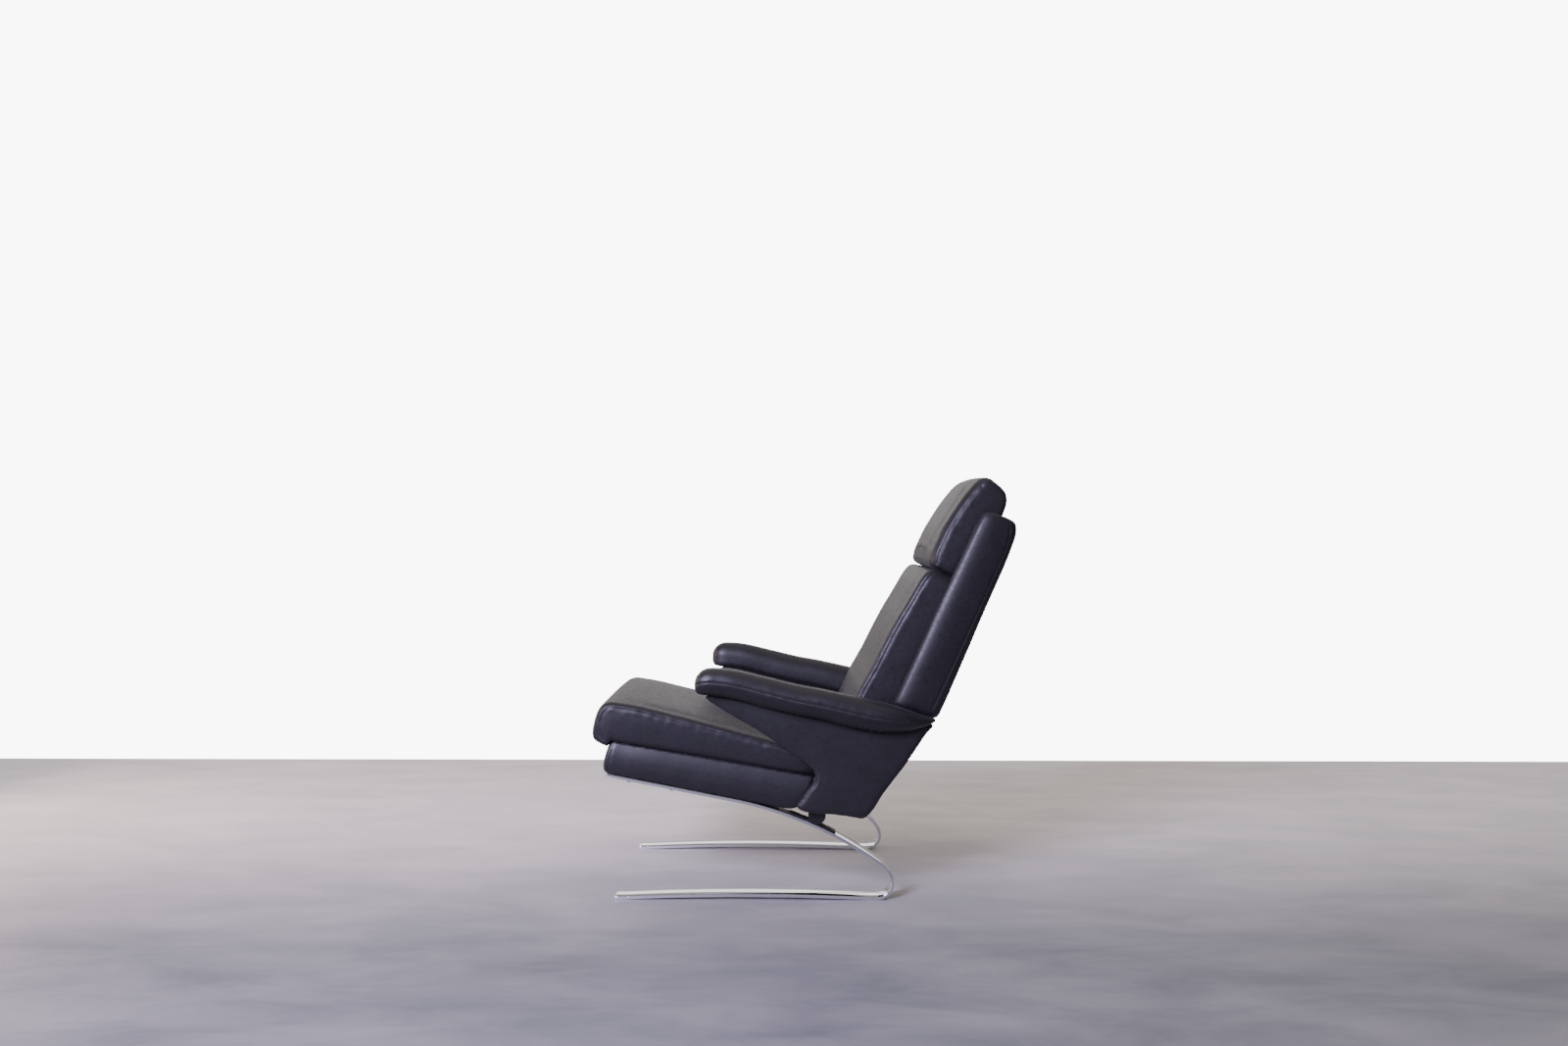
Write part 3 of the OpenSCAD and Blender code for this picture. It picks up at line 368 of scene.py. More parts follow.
def stuff(obj, held, cap, slack=3.5, pressure=4.0):
    # the cover starts slack and is blown up like a filled cushion; held is 0 to 1 per point
    normals = getNormals(obj)
    start = getPoints(obj)
    shrunk = start - normals * (slack * mm * (1 - held))[:, None]
    setPoints(obj, shrunk)
    group = obj.vertex_groups.new(name="held")
    for i in np.nonzero(held > 0.02)[0]:
        group.add([int(i)], float(held[i]), "REPLACE")
    cloth = obj.modifiers.new("cover", "CLOTH")
    rules = cloth.settings
    rules.quality = 5
    rules.mass = 0.3
    rules.tension_stiffness = rules.compression_stiffness = 15
    rules.shear_stiffness = 5
    rules.bending_stiffness = 0.5
    rules.use_pressure = True
    rules.uniform_pressure_force = pressure
    rules.vertex_group_mass = "held"
    rules.effector_weights.gravity = 0
    cloth.collision_settings.use_collision = False
    cloth.point_cache.frame_start, cloth.point_cache.frame_end = 1, 20
    for f in range(1, 21):
        scene.frame_set(f)
    graph = bpy.context.evaluated_depsgraph_get()
    swollen = readVectors(obj.evaluated_get(graph).data, "co")
    obj.modifiers.clear()
    obj.vertex_groups.clear()
    scene.frame_set(1)
    # what the pressure moved, evened out and kept near the drawn shape
    move = evened(obj, swollen - start, 18)
    out = (move * normals).sum(1)
    full, hollow = cap * mm, 1.2 * mm
    kept = np.where(out > 0, full * (1 - np.exp(-np.abs(out) / full)),
                    -hollow * (1 - np.exp(-np.abs(out) / hollow)))
    aside = move - normals * out[:, None]
    setPoints(obj, start + normals * kept[:, None] + aside * 0.4)
    print("   stuffed", obj.name, "by", round(float(kept.min()) * 1000, 1), "to",
          round(float(kept.max()) * 1000, 1), "mm")


def surfaceOf(obj):
    bm = bmesh.new()
    bm.from_mesh(obj.data)
    bvh = BVHTree.FromBMesh(bm)
    bm.free()
    return bvh


def ontoSurface(obj, points, direction):
    # drops a line of points onto the piece along a direction
    bvh = surfaceOf(obj)
    way = Vector(direction).normalized()
    out = []
    for p in points:
        hit = bvh.ray_cast(Vector(p) - way * 0.5, way)
        if hit[0] is not None:
            out.append(np.array(hit[0]))
    return np.array(out)


def bothSides(obj, place, points, across):
    # a line in side view, dropped onto the piece from both sides
    lines = []
    for side in (-1, 1):
        path = openCurve([place(a, side * across, b) for a, b in points], 4 * mm)
        lines.append(ontoSurface(obj, path, (0, -side, 0)))
    return lines


def heldBy(obj, lines):
    # 1 on a seam, falling to 0 about 12 mm away from it
    dist, _ = nearest(getPoints(obj), treeOf(np.concatenate(lines)))
    return np.clip(1.3 - dist / (9 * mm), 0, 1)


def pressSeam(obj, line, depth, width, pucker=0.0):
    # a seam draws the cover in along its line; puckers follow it
    pts = getPoints(obj)
    normals = getNormals(obj)
    lo, hi = line.min(0) - 0.03, line.max(0) + 0.03
    near = np.nonzero(((pts > lo) & (pts < hi)).all(1))[0]
    dense = []
    for a, b in zip(line[:-1], line[1:]):
        n = max(1, round(np.linalg.norm(b - a) / 0.0015))
        dense += [a + (b - a) * i / n for i in range(n)]
    dist, _ = nearest(pts[near], treeOf(dense))
    fall = depth * mm * np.exp(-(dist / (width * mm)) ** 2)
    if pucker:
        wave = np.array([noise.noise(Vector(p) * 55) for p in pts[near]])
        fall += pucker * mm * wave * np.exp(-(dist / (14 * mm)) ** 2)
    pts[near] -= normals[near] * fall[:, None]
    setPoints(obj, pts)


def soften(obj, amount, scale, seed=0.0):
    # broad, shallow unevenness of a hand-filled cover
    pts = getPoints(obj)
    shift = Vector((seed, seed * 0.7, -seed))
    rise = np.array([noise.fractal(Vector(p) / scale + shift, 1.0, 2.0, 2) for p in pts])
    setPoints(obj, pts + getNormals(obj) * (amount * mm * rise)[:, None])


# mm, drawn a little coarse to show; one row on each side of the seam
stitch = {"pitch": 4.6, "length": 3.5, "thick": 1.0, "rows": (-3.5, 3.5)}


def sew(name, obj, lines, body):
    # thread stitches lying on the piece beside its seams
    bvh = surfaceOf(obj)
    verts, faces = [], []
    half, thick = stitch["length"] / 2 * mm, stitch["thick"] / 2 * mm
    for line in lines:
        run = runOf(line)
        spots = np.arange(stitch["pitch"] * mm, run[-1], stitch["pitch"] * mm)
        for t in spots:
            p = Vector([np.interp(t, run, line[:, k]) for k in range(3)])
            q = Vector([np.interp(min(t + 0.002, run[-1]), run, line[:, k]) for k in range(3)])
            r = Vector([np.interp(max(t - 0.002, 0), run, line[:, k]) for k in range(3)])
            along = (q - r).normalized()
            _, up, _, _ = bvh.find_nearest(p)
            if up is None:
                continue
            aside = along.cross(up).normalized()
            for off in stitch["rows"]:
                spot, out, _, _ = bvh.find_nearest(p + aside * off * mm)
                if spot is None:
                    continue
                wide = along.cross(out).normalized()
                base = len(verts)
                for s, r2 in ((-1, 0.35), (-0.75, 0.9), (0, 1.0), (0.75, 0.9), (1, 0.35)):
                    centre = spot + along * half * s + out * thick * (0.75 - 0.75 * s * s)
                    for k in range(6):
                        a = k * math.pi / 3
                        verts.append(centre + (wide * math.cos(a) + out * math.sin(a)) * thick * r2)
                for j in range(4):
                    for k in range(6):
                        m = (k + 1) % 6
                        faces.append((base + j * 6 + k, base + j * 6 + m, base + j * 6 + 6 + m,
                                      base + j * 6 + 6 + k))
                faces.append(tuple(base + k for k in range(5, -1, -1)))
                faces.append(tuple(base + 24 + k for k in range(6)))
    row = meshObject(name, verts, faces)
    smoothShade(row)
    row.data.materials.append(thread)
    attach(row, body)


# Materials

leather = {
    "deep": "#0d0a0f", "worn": "#1a161c",   # dye in the pores and on the high grain
    "roughness": (0.40, 0.52), "grainSize": 1.3, "creaseSize": 9.0,
}


def smoothDyedLeather():
    # aniline-dyed hide, rolled smooth: soft wide highlights, a fine pebble and a faint cloudiness
    mat, tree, place = startMaterial("smoothDyedLeather")
    cloud = addNode(tree, "TexNoise", {"Scale": 1000 / 70, "Detail": 4.0, "Roughness": 0.55},
                    {"Vector": place})
    grain = addNode(tree, "TexVoronoi",
                    {"feature": "SMOOTH_F1", "Scale": 1000 / leather["grainSize"],
                     "Smoothness": 0.6},
                    {"Vector": place})
    crease = addNode(tree, "TexNoise",
                     {"Scale": 1000 / leather["creaseSize"], "Detail": 3.0, "Distortion": 0.8},
                     {"Vector": place})
    colour = addNode(tree, "Mix",
                     {"data_type": "RGBA", 6: hexToLinear(leather["deep"]),
                      7: hexToLinear(leather["worn"])}, {0: cloud.outputs["Fac"]})
    rough = addNode(tree, "MapRange",
                    {"From Min": 0.3, "From Max": 0.7, "To Min": leather["roughness"][0],
                    "To Max": leather["roughness"][1]}, {"Value": crease.outputs["Fac"]})
    bumpGrain = addNode(tree, "Bump", {"Strength": 0.18, "Distance": 0.0003},
                        {"Height": grain.outputs["Distance"]})
    bumpCrease = addNode(tree, "Bump", {"Strength": 0.25, "Distance": 0.0006},
                         {"Height": crease.outputs["Fac"], "Normal": bumpGrain.outputs["Normal"]})
    surface = addNode(tree, "BsdfPrincipled",
                      {"IOR": 1.5, "Specular IOR Level": 0.5, "Sheen Weight": 0.03,
                       "Sheen Roughness": 0.5},
                      {"Base Color": colour.outputs[2], "Roughness": rough.outputs["Result"],
                       "Normal": bumpCrease.outputs["Normal"]})
    return finished(mat, tree, surface)


def polyesterThread():
    # bonded sewing thread, a shade lighter than the hide, with its twist
    mat, tree, place = startMaterial("polyesterThread")
    twist = addNode(tree, "TexWave",
                    {"wave_type": "BANDS", "bands_direction": "DIAGONAL", "Scale": 400.0,
                     "Distortion": 1.0},
                    {"Vector": place})
    return twoToned(mat, tree, twist.outputs["Fac"], ("#2b2929", "#3f3b3a"), (0.4, 0.0002),
                    {"Roughness": 0.5, "IOR": 1.5})


def mirrorChromePlate():
    # steel bar, polished and chrome plated: clear reflections, the faintest wave and haze
    mat, tree, place = startMaterial("mirrorChromePlate")
    haze = addNode(tree, "TexNoise", {"Scale": 1000 / 45, "Detail": 5.0}, {"Vector": place})
    rough = addNode(tree, "MapRange",
                    {"From Min": 0.35, "From Max": 0.75, "To Min": 0.035, "To Max": 0.085},
                    {"Value": haze.outputs["Fac"]})
    tint = addNode(tree, "Mix",
                   {"data_type": "RGBA", 6: hexToLinear("#e6e7ea"), 7: hexToLinear("#dcdee2")},
                   {0: haze.outputs["Fac"]})
    wave = addNode(tree, "TexNoise", {"Scale": 1000 / 120, "Detail": 1.0}, {"Vector": place})
    bump = addNode(tree, "Bump", {"Strength": 0.06, "Distance": 0.001},
                   {"Height": wave.outputs["Fac"]})
    surface = addNode(tree, "BsdfPrincipled", {"Metallic": 1.0},
                      {"Base Color": tint.outputs[2], "Roughness": rough.outputs["Result"],
                       "Normal": bump.outputs["Normal"]})
    return finished(mat, tree, surface)


def satinBlackPaint():
    # baked satin enamel on steel: even black, slight orange peel
    mat, tree, place = startMaterial("satinBlackPaint")
    peel = addNode(tree, "TexNoise", {"Scale": 1000 / 2.5, "Detail": 2.0}, {"Vector": place})
    return twoToned(mat, tree, peel.outputs["Fac"], ("#0c0c0d", "#151516"), (0.15, 0.0003),
                    {"Roughness": 0.38, "IOR": 1.5})


def zincPlatedSteel():
    # bright zinc on turned and stamped steel: dull silver, fine brushed streaks
    mat, tree, place = startMaterial("zincPlatedSteel")
    stretch = addNode(tree, "Mapping", {"Scale": (40.0, 900.0, 900.0)}, {"Vector": place})
    streak = addNode(tree, "TexNoise", {"Scale": 1.0, "Detail": 3.0},
                     {"Vector": stretch.outputs["Vector"]})
    rough = addNode(tree, "MapRange", {"To Min": 0.26, "To Max": 0.42},
                    {"Value": streak.outputs["Fac"]})
    tone = addNode(tree, "Mix",
                   {"data_type": "RGBA", 6: hexToLinear("#b9bcc0"), 7: hexToLinear("#cfd1d3")},
                   {0: streak.outputs["Fac"]})
    surface = addNode(tree, "BsdfPrincipled", {"Metallic": 1.0},
                      {"Base Color": tone.outputs[2], "Roughness": rough.outputs["Result"]})
    return finished(mat, tree, surface)


def sandedBeech():
    # planed and sanded beech: pale pinkish brown, short dark flecks along the grain
    mat, tree, place = startMaterial("sandedBeech")
    along = addNode(tree, "Mapping", {"Scale": (12.0, 12.0, 160.0)}, {"Vector": place})
    grain = addNode(tree, "TexNoise", {"Scale": 1.0, "Detail": 6.0, "Distortion": 0.4},
                    {"Vector": along.outputs["Vector"]})
    return twoToned(mat, tree, grain.outputs["Fac"], ("#b88a5e", "#d9b488"), (0.2, 0.0003),
                    {"Roughness": 0.6, "IOR": 1.45})


def wovenElastic():
    # rubber-cored woven strap: ribs 3 mm apart across a matt charcoal web
    mat, tree, place = startMaterial("wovenElastic")
    ribs = addNode(tree, "TexWave",
                   {"bands_direction": "Y", "Scale": 1000 / 3.0 / 6.283, "Distortion": 0.5},
                   {"Vector": place})
    return twoToned(mat, tree, ribs.outputs["Fac"], ("#2b2b29", "#4c4b47"), (0.6, 0.0006),
                    {"Roughness": 0.85})


def wovenLining():
    # black non-glossy lining cloth: a plain weave drawn at 2 mm so that it shows
    mat, tree, place = startMaterial("wovenLining")
    warp = addNode(tree, "TexWave",
                   {"bands_direction": "X", "Scale": 1000 / 2.0 / 6.283, "Distortion": 0.3},
                   {"Vector": place})
    weft = addNode(tree, "TexWave",
                   {"bands_direction": "Y", "Scale": 1000 / 2.0 / 6.283, "Distortion": 0.3},
                   {"Vector": place})
    weave = addNode(tree, "Math", {"operation": "MULTIPLY"},
                    {0: warp.outputs["Fac"], 1: weft.outputs["Fac"]})
    return twoToned(mat, tree, weave.outputs[0], ("#0e0e0f", "#232324"), (0.4, 0.0004),
                    {"Roughness": 0.9})


def mouldedNylon():
    # injection-moulded nylon: near black, satin, very fine spark texture
    mat, tree, place = startMaterial("mouldedNylon")
    spark = addNode(tree, "TexNoise", {"Scale": 1000 / 0.8, "Detail": 2.0}, {"Vector": place})
    return twoToned(mat, tree, spark.outputs["Fac"], ("#161617", "#202021"), (0.2, 0.0002),
                    {"Roughness": 0.5, "IOR": 1.53})


def smoothedConcrete():
    # power-trowelled and sealed floor: matt, with the cloudy grey of the trowel's passes; painted
    # shade in front, painted light behind the chair
    mat, tree, place = startMaterial("smoothedConcrete")
    across = addNode(tree, "Mapping", {"Scale": (1.0, 2.6, 1.0)}, {"Vector": place})
    cloud = addNode(tree, "TexNoise",
                    {"Scale": 2.4, "Detail": 7.0, "Roughness": 0.62, "Distortion": 0.4},
                    {"Vector": across.outputs["Vector"]})
    spread = addNode(tree, "MapRange", {"From Min": 0.34, "From Max": 0.66},
                     {"Value": cloud.outputs["Fac"]})
    axes = addNode(tree, "SeparateXYZ", None, {0: place})
    # painted shade and light: by its Y the floor goes from a dark grey in front of the chair to a
    # pale grey behind it
    depth = addNode(tree, "MapRange",
                    {"From Min": -0.75, "From Max": 0.8, "interpolation_type": "SMOOTHSTEP"},
                    {"Value": axes.outputs["Y"]})
    # painted shade: the darker grey near the camera
    near = addNode(tree, "Mix",
                   {"data_type": "RGBA", 6: hexToLinear("#64666b"), 7: hexToLinear("#838183")},
                   {0: spread.outputs["Result"]})
    # painted light: the pale grey behind the chair
    far = addNode(tree, "Mix",
                  {"data_type": "RGBA", 6: hexToLinear("#e2dcd9"), 7: hexToLinear("#f8f0ea")},
                  {0: spread.outputs["Result"]})
    tone = addNode(tree, "Mix", {"data_type": "RGBA"},
                   {0: depth.outputs["Result"], 6: near.outputs[2], 7: far.outputs[2]})
    surface = addNode(tree, "BsdfPrincipled", {"Roughness": 0.5},
                      {"Base Color": tone.outputs[2]})
    return finished(mat, tree, surface)


hide = smoothDyedLeather()
thread = polyesterThread()
finishes = {
    "runner_chrome": mirrorChromePlate(), "black_leather": hide, "frame_timber": sandedBeech(),
    "strap_webbing": wovenElastic(), "lining_cloth": wovenLining(), "black_steel": satinBlackPaint(),
    "bush_nylon": mouldedNylon(), "plain_steel": zincPlatedSteel(),
}
for part in frame["record"]["subparts"]:
    node = nodes[part["node"]]
    node.data.materials.clear()
    node.data.materials.append(finishes[part["material_slot"]])
print("materials ready")


def dress(obj, body, slotName="black_leather", *stands):
    smoothShade(obj)
    obj.data.materials.clear()
    obj.data.materials.append(finishes[slotName])
    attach(obj, body)
    if stands:
        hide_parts(*stands)


# Runners

runner = {
    "barWidth": 45.0, "barThick": 8.0, "middle": 226.5, "edgeRound": 1.3,
    "toeX": 178.0, "railLength": 638.5, "foot": 18.0, "rise": 7.0,
    "toeRadius": 37.0, "toeTurn": 115.0, "kneeRadius": 88.0, "kneeTurn": 145.0,
    "springRadius": 930.0, "runLength": 314.0,
    # cut ends: mm in from the end and share of the section; tapers of width and thickness
    "end": [(0, 0.86), (0.25, 0.93), (1.0, 0.975), (2.2, 0.995)],
    "endTaper": 20, "endFlat": 0.55,
}


def outward(h):
    h = math.radians(h)
    return np.array([math.sin(h), -math.cos(h)])


def bendCentres():
    r = runner
    toe = np.array([r["toeX"], r["barThick"] / 2 + r["toeRadius"]])
    knee = toe + (r["toeRadius"] - r["kneeRadius"]) * outward(r["toeTurn"])
    return toe, knee, knee + (r["kneeRadius"] - r["springRadius"]) * outward(r["kneeTurn"])


def runnerLine():
    # x, z and heading along the bar, from the front end of the floor rail up to the seat
    r = runner
    half = r["barThick"] / 2
    arch = r["railLength"] - 2 * r["foot"]
    bow = (arch ** 2 / 4 + r["rise"] ** 2) / (2 * r["rise"])
    sweep = math.degrees(math.asin(arch / 2 / bow))
    front = r["toeX"] - r["railLength"]
    line = [(front + t, half, 0.0) for t in np.linspace(0, r["foot"], 4)]
    for i in range(1, 60):
        h = sweep * (1 - 2 * i / 60)
        o = outward(h)
        line.append((front + r["railLength"] / 2 - bow * o[0], half + r["rise"] - bow - bow * o[1],
                     h))
    line += [(r["toeX"] - t, half, 0.0) for t in np.linspace(r["foot"], 0, 4)]
    toe, knee, spring = bendCentres()

    def bend(centre, radius, a, b, step):
        n = max(2, math.ceil(abs(b - a) / step))
        for i in range(1, n + 1):
            h = a + (b - a) * i / n
            p = centre + radius * outward(h)
            line.append((p[0], p[1], h))
    bend(toe, r["toeRadius"], 0, r["toeTurn"], 2.5)
    bend(knee, r["kneeRadius"], r["toeTurn"], r["kneeTurn"], 1.5)
    top = 180 - frames["seatSlope"]
    bend(spring, r["springRadius"], r["kneeTurn"], top, 0.6)
    x, z, h = line[-1]
    for t in np.linspace(0, r["runLength"], 24)[1:]:
        line.append((x + t * math.cos(math.radians(h)), z + t * math.sin(math.radians(h)), h))
    return line


def barSection(width, thick, r):
    pts = []
    for cy, cz, a0 in ((1, 1, 0), (-1, 1, 90), (-1, -1, 180), (1, -1, 270)):
        for a in (0, 22.5, 45, 67.5, 90):
            t = math.radians(a0 + a)
            pts.append((cy * (width / 2 - r) + r * math.cos(t),
                        cz * (thick / 2 - r) + r * math.sin(t)))
    return pts


def makeRunner(side):
    r = runner
    line = runnerLine()
    rings = []
    n = len(line)
    for i, (x, z, h) in enumerate(line):
        o = outward(h)
        along = np.array([math.cos(math.radians(h)), math.sin(math.radians(h))])
        ends = [(0, 1.0)]
        if i == 0:
            ends = r["end"]
        if i == n - 1:
            ends = [(-t, share) for t, share in r["end"][::-1]]
        for shift, share in ends:
            # round corners in plan and a light break of the end's edges
            gap = (1 - share) * r["endTaper"]
            sec = barSection(r["barWidth"] - gap, r["barThick"] - gap * r["endFlat"],
                             r["edgeRound"])
            rings.append([((x + shift * along[0] - c * o[0]) * mm, (side * r["middle"] + a) * mm,
                           (z + shift * along[1] - c * o[1]) * mm) for a, c in sec])
    obj = skinRings("runnerBar_" + hand(side), rings)
    smoothShade(obj)
    obj.data.materials.append(finishes["runner_chrome"])
    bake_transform(obj)
    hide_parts("runner_" + hand(side))


for side in (-1, 1):
    makeRunner(side)
print("runners bent")


# Pivot brackets: a flat foot screwed to the bar, with a round eye standing on it

bracket = {
    "eyeRadius": 21.0, "hole": 12.2, "fillet": 0.4, "footThick": 4.6, "seatGap": 0.3,
    "footDown": 59.0, "footUp": 62.0,   # from the pivot along the bar
    "inner": 204.4, "outer": 255.4, "footInner": 219.5, "footOuter": 248.6, "edge": 0.5,
    "screwPitch": 64.0, "screwRadius": 3.0, "headRadius": 5.6, "hexFlats": 4.0, "hexDeep": 2.2,
    "headDeep": 3.2, "coneEnd": 0.5, "rimStart": 0.05, "rimEase": 0.4, "headRise": 0.3,
}


def alongBar(t, up):
    # point in x and z, t mm past the pivot towards the seat and up mm over the bar's upper face
    r = runner
    spring = bendCentres()[2]
    rise = np.array(frames["pivot"]) - spring
    h = math.degrees(math.atan2(rise[0], -rise[1]) + t / r["springRadius"])
    return spring + (r["springRadius"] + r["barThick"] / 2 + up) * outward(h)


def makeBracket(side):
    b = bracket
    low, high = b["seatGap"], b["seatGap"] + b["footThick"]
    pivot = np.array(frames["pivot"])
    deck = alongBar(0, high)
    reach = np.linalg.norm(pivot - deck)
    lift = (pivot - deck) / reach
    ahead = np.array([-lift[1], lift[0]])     # towards the seat, square to the lift
    if alongBar(10, high) @ ahead < deck @ ahead:
        ahead = -ahead
    # a small fillet joins foot and eye on both sides
    f, big = b["fillet"], b["eyeRadius"]
    out = math.sqrt((big + f) ** 2 - (reach - f) ** 2)
    turn = math.acos((reach - f) / (big + f))

    def spot(a, c):
        return tuple(deck + a * ahead + c * lift)
    foot = [tuple(alongBar(t, low)) for t in np.linspace(b["footUp"], -b["footDown"], 30)]
    foot += [tuple(alongBar(t, high)) for t in np.linspace(-b["footDown"], b["footUp"], 30)]
    sunk = b["footThick"] / 2
    eye = [spot(out, -sunk), spot(-out, -sunk)]
    eye += [spot(-out + f * math.sin(a), f - f * math.cos(a)) for a in np.linspace(0, turn, 5)]
    eye += [spot(-big * math.sin(a), reach - big * math.cos(a))
            for a in np.linspace(turn, 2 * math.pi - turn, 61)[1:-1]]
    eye += [spot(out - f * math.sin(a), f - f * math.cos(a)) for a in np.linspace(turn, 0, 5)]
    plain = turned((0, 0), 0)
    obj = slab("pivotBracket_" + hand(side), foot,
               side * b["footInner"], side * b["footOuter"], plain)
    cut(obj, slab("eye", eye, side * b["inner"], side * b["outer"], plain), "UNION")
    ring = [(pivot[0] + b["hole"] * math.cos(a), pivot[1] + b["hole"] * math.sin(a))
            for a in np.linspace(0, 2 * math.pi, 49)[:-1]]
    cut(obj, slab("bore", ring, side * (b["inner"] - 5), side * (b["outer"] + 5), plain))
    mod = obj.modifiers.new("eased", "BEVEL")
    mod.width, mod.segments, mod.angle_limit = b["edge"] * mm, 2, math.radians(50)
    bake(obj)
    dress(obj, "seat", "black_steel", "pivot_bracket_" + hand(side))
    obj.data.set_sharp_from_angle(angle=math.radians(35))


def hexCorner(a, flats):
    # distance of a hexagon's edge in the direction a
    return flats / 2 / math.cos((a % (math.pi / 3)) - math.pi / 6)


def makeBracketScrews():
    b = bracket
    top = b["seatGap"] + b["footThick"]
    heads = []
    turns = np.linspace(0, 2 * math.pi, 37)[:-1]
    face = top + b["headRise"]
    # radius and height over the bar's upper face, from the shank's end to the head's rim
    rows = [(b["screwRadius"], -runner["barThick"]), (b["screwRadius"], top - b["headDeep"]),
            (b["headRadius"], top - b["coneEnd"]), (b["headRadius"], top + b["rimStart"]),
            (b["headRadius"] - b["rimEase"], face)]
    for side in (-1, 1):
        for t in (-b["screwPitch"] / 2, b["screwPitch"] / 2):
            base, lift = alongBar(t, 0), alongBar(t, 1) - alongBar(t, 0)
            ahead = np.array([-lift[1], lift[0]])

            def ring(radius, up):
                pts = []
                for a in turns:
                    r = radius if radius > 0 else hexCorner(a, b["hexFlats"])
                    x, z = base + up * lift + r * math.cos(a) * ahead
                    pts.append((x * mm, (side * runner["middle"] + r * math.sin(a)) * mm, z * mm))
                return pts
            rings = [ring(r, up) for r, up in rows]
            rings += [ring(0, face), ring(0, face - b["hexDeep"])]
            heads.append(skinRings("screw", rings))
    first = heads[0]
    bm = bmesh.new()
    for head in heads:
        bm.from_mesh(head.data)
    bm.to_mesh(first.data)
    bm.free()
    for head in heads[1:]:
        bpy.data.objects.remove(head)
    first.name = "bracketScrews"
    dress(first, "seat", "plain_steel", "bracket_screws")
    first.data.set_sharp_from_angle(angle=math.radians(35))


for side in (-1, 1):
    makeBracket(side)
makeBracketScrews()
print("brackets made")


# Seat box

seatBox = {
    "height": 79.0, "rise": 11.0, "length": 465.9, "voxel": 5.0, "frontCorner": 11.0,
    "rearCorner": 5.0,
    "seam": (1.2, 2.2, 0.4),        # depth, width and pucker in mm
    "uneven": (0.7, 0.09, 3.1),     # mm, size in metres, seed
    "wellHalf": 242,
    "well": [(0, -20), (434, -20), (434, 1.4), (459.2, 1.4), (459.2, 200), (0, 200)],
    # height share, front, rear and half width in mm
    "rows": [
        [0.000, -4.0, 451.0, 244.5], [0.012, -6.5, 456.5, 246.4], [0.040, -8.6, 463.0, 248.2],
        [0.090, -10.4, 471.0, 249.8], [0.200, -12.2, 480.0, 251.8], [0.340, -13.0, 486.0, 253.2],
        [0.540, -12.6, 491.0, 252.8], [0.760, -10.4, 495.5, 250.2], [0.900, -8.2, 498.0, 247.2],
        [0.965, -6.6, 499.0, 245.4], [1.000, -5.0, 498.5, 244.2]],
}


def makeSeatBox():
    b = seatBox
    rings = []
    for share, front, rear, half in finerRows(b["rows"], b["height"], 3):
        ring = []
        rf, rr = b["frontCorner"], b["rearCorner"]
        for cx, cy, a0, r in ((rear - rr, half - rr, 0, rr), (front + rf, half - rf, 90, rf),
                              (front + rf, rf - half, 180, rf), (rear - rr, rr - half, 270, rr)):
            for a in np.linspace(0, 90, 9):
                t = math.radians(a0 + a)
                ring.append((cx + r * math.cos(t), cy + r * math.sin(t)))
        full = []
        for p, q in zip(ring, ring[1:] + ring[:1]):
            n = max(1, round(math.dist(p, q) / 12))
            full += [(p[0] + (q[0] - p[0]) * i / n, p[1] + (q[1] - p[1]) * i / n) for i in range(n)]
        v0 = 0.3 + share * b["height"]
        rings.append([seatPoint(u, y, v0 + b["rise"] * share * u / b["length"]) for u, y in full])
    counts = {len(r) for r in rings}
    least = min(counts)
    if len(counts) > 1:   # the long sides may round to another count
        rings = [[ring[round(i * len(ring) / least) % len(ring)] for i in range(least)]
                 for ring in rings]
    obj = skinRings("seatBoxCover", rings)
    remesh(obj, b["voxel"], 2)
    grow(obj, 0.5)
    subdivide(obj)
    # the timber frame's well, open above and below; the hide wraps under the rear rail
    cut(obj, slab("well", b["well"], -b["wellHalf"], b["wellHalf"], seatPoint))
    soften(obj, *b["uneven"])
    for side in (-1, 1):
        # corner seams at the front
        corner = openCurve([seatPoint(-1.5, side * 262, v) for v in (4, 20, 42, 64, 82)], 4 * mm)
        line = ontoSurface(obj, corner, (0.35, -side, 0))
        pressSeam(obj, line, *b["seam"])
    dress(obj, "seat", "black_leather", "seat_box")


makeSeatBox()
print("seat box covered")


def sewPad(obj, c, lines, body, node):
    for line in lines:
        pressSeam(obj, line, *c["seam"])
    dress(obj, body, "black_leather", node)
    sew(obj.name.replace("Cover", "Stitches"), obj, lines, body)


# Seat cushion

seatCushion = {
    "length": 567.9, "nose": 56.0, "height": 101.0, "width": 510.0, "voxel": 6.0,
    "topRound": 13.0, "lowRound": 12.0, "bulge": 2.5, "crown": 5.0, "cap": 3.5, "fill": 0.8,
    "seam": (1.8, 2.6, 0.9), "uneven": (1.1, 0.16, 1.7), "lipX": -460.0,
    "seamFrom": -26, "seamEnd": 14, "seamDrop": 17.0,
    # the seam's curl round the front
    "curl": [(-23.0, 80.0), (-33.5, 94.0), (-38.0, 110.0), (-38.5, 126.0), (-35.0, 141.0)],
    # length share, then low and high as shares of the height, then the share of the width
    "rows": [
        [0.000, 0.140, 0.50, 0.955], [0.005, 0.020, 0.68, 0.975], [0.016, -0.060, 0.83, 0.987],
        [0.037, -0.108, 0.935, 0.995], [0.060, -0.136, 0.978, 0.999], [0.074, -0.154, 0.988, 1.000],
        [0.0815, -0.160, 0.989, 1.000], [0.0845, -0.110, 0.991, 1.000],
        [0.0875, -0.04, 0.992, 1.000],
        [0.091, 0.000, 0.993, 1.000], [0.160, 0.000, 1.00, 0.999],
        [0.260, 0.000, 0.963, 0.995], [0.354, 0.000, 0.924, 0.993], [0.477, 0.000, 0.875, 0.992],
        [0.630, 0.000, 0.801, 0.994], [0.755, 0.000, 0.743, 0.997], [0.882, 0.000, 0.693, 0.999],
        [0.965, 0.010, 0.646, 0.985], [0.990, 0.070, 0.567, 0.960], [1.000, 0.220, 0.418, 0.920]],
}


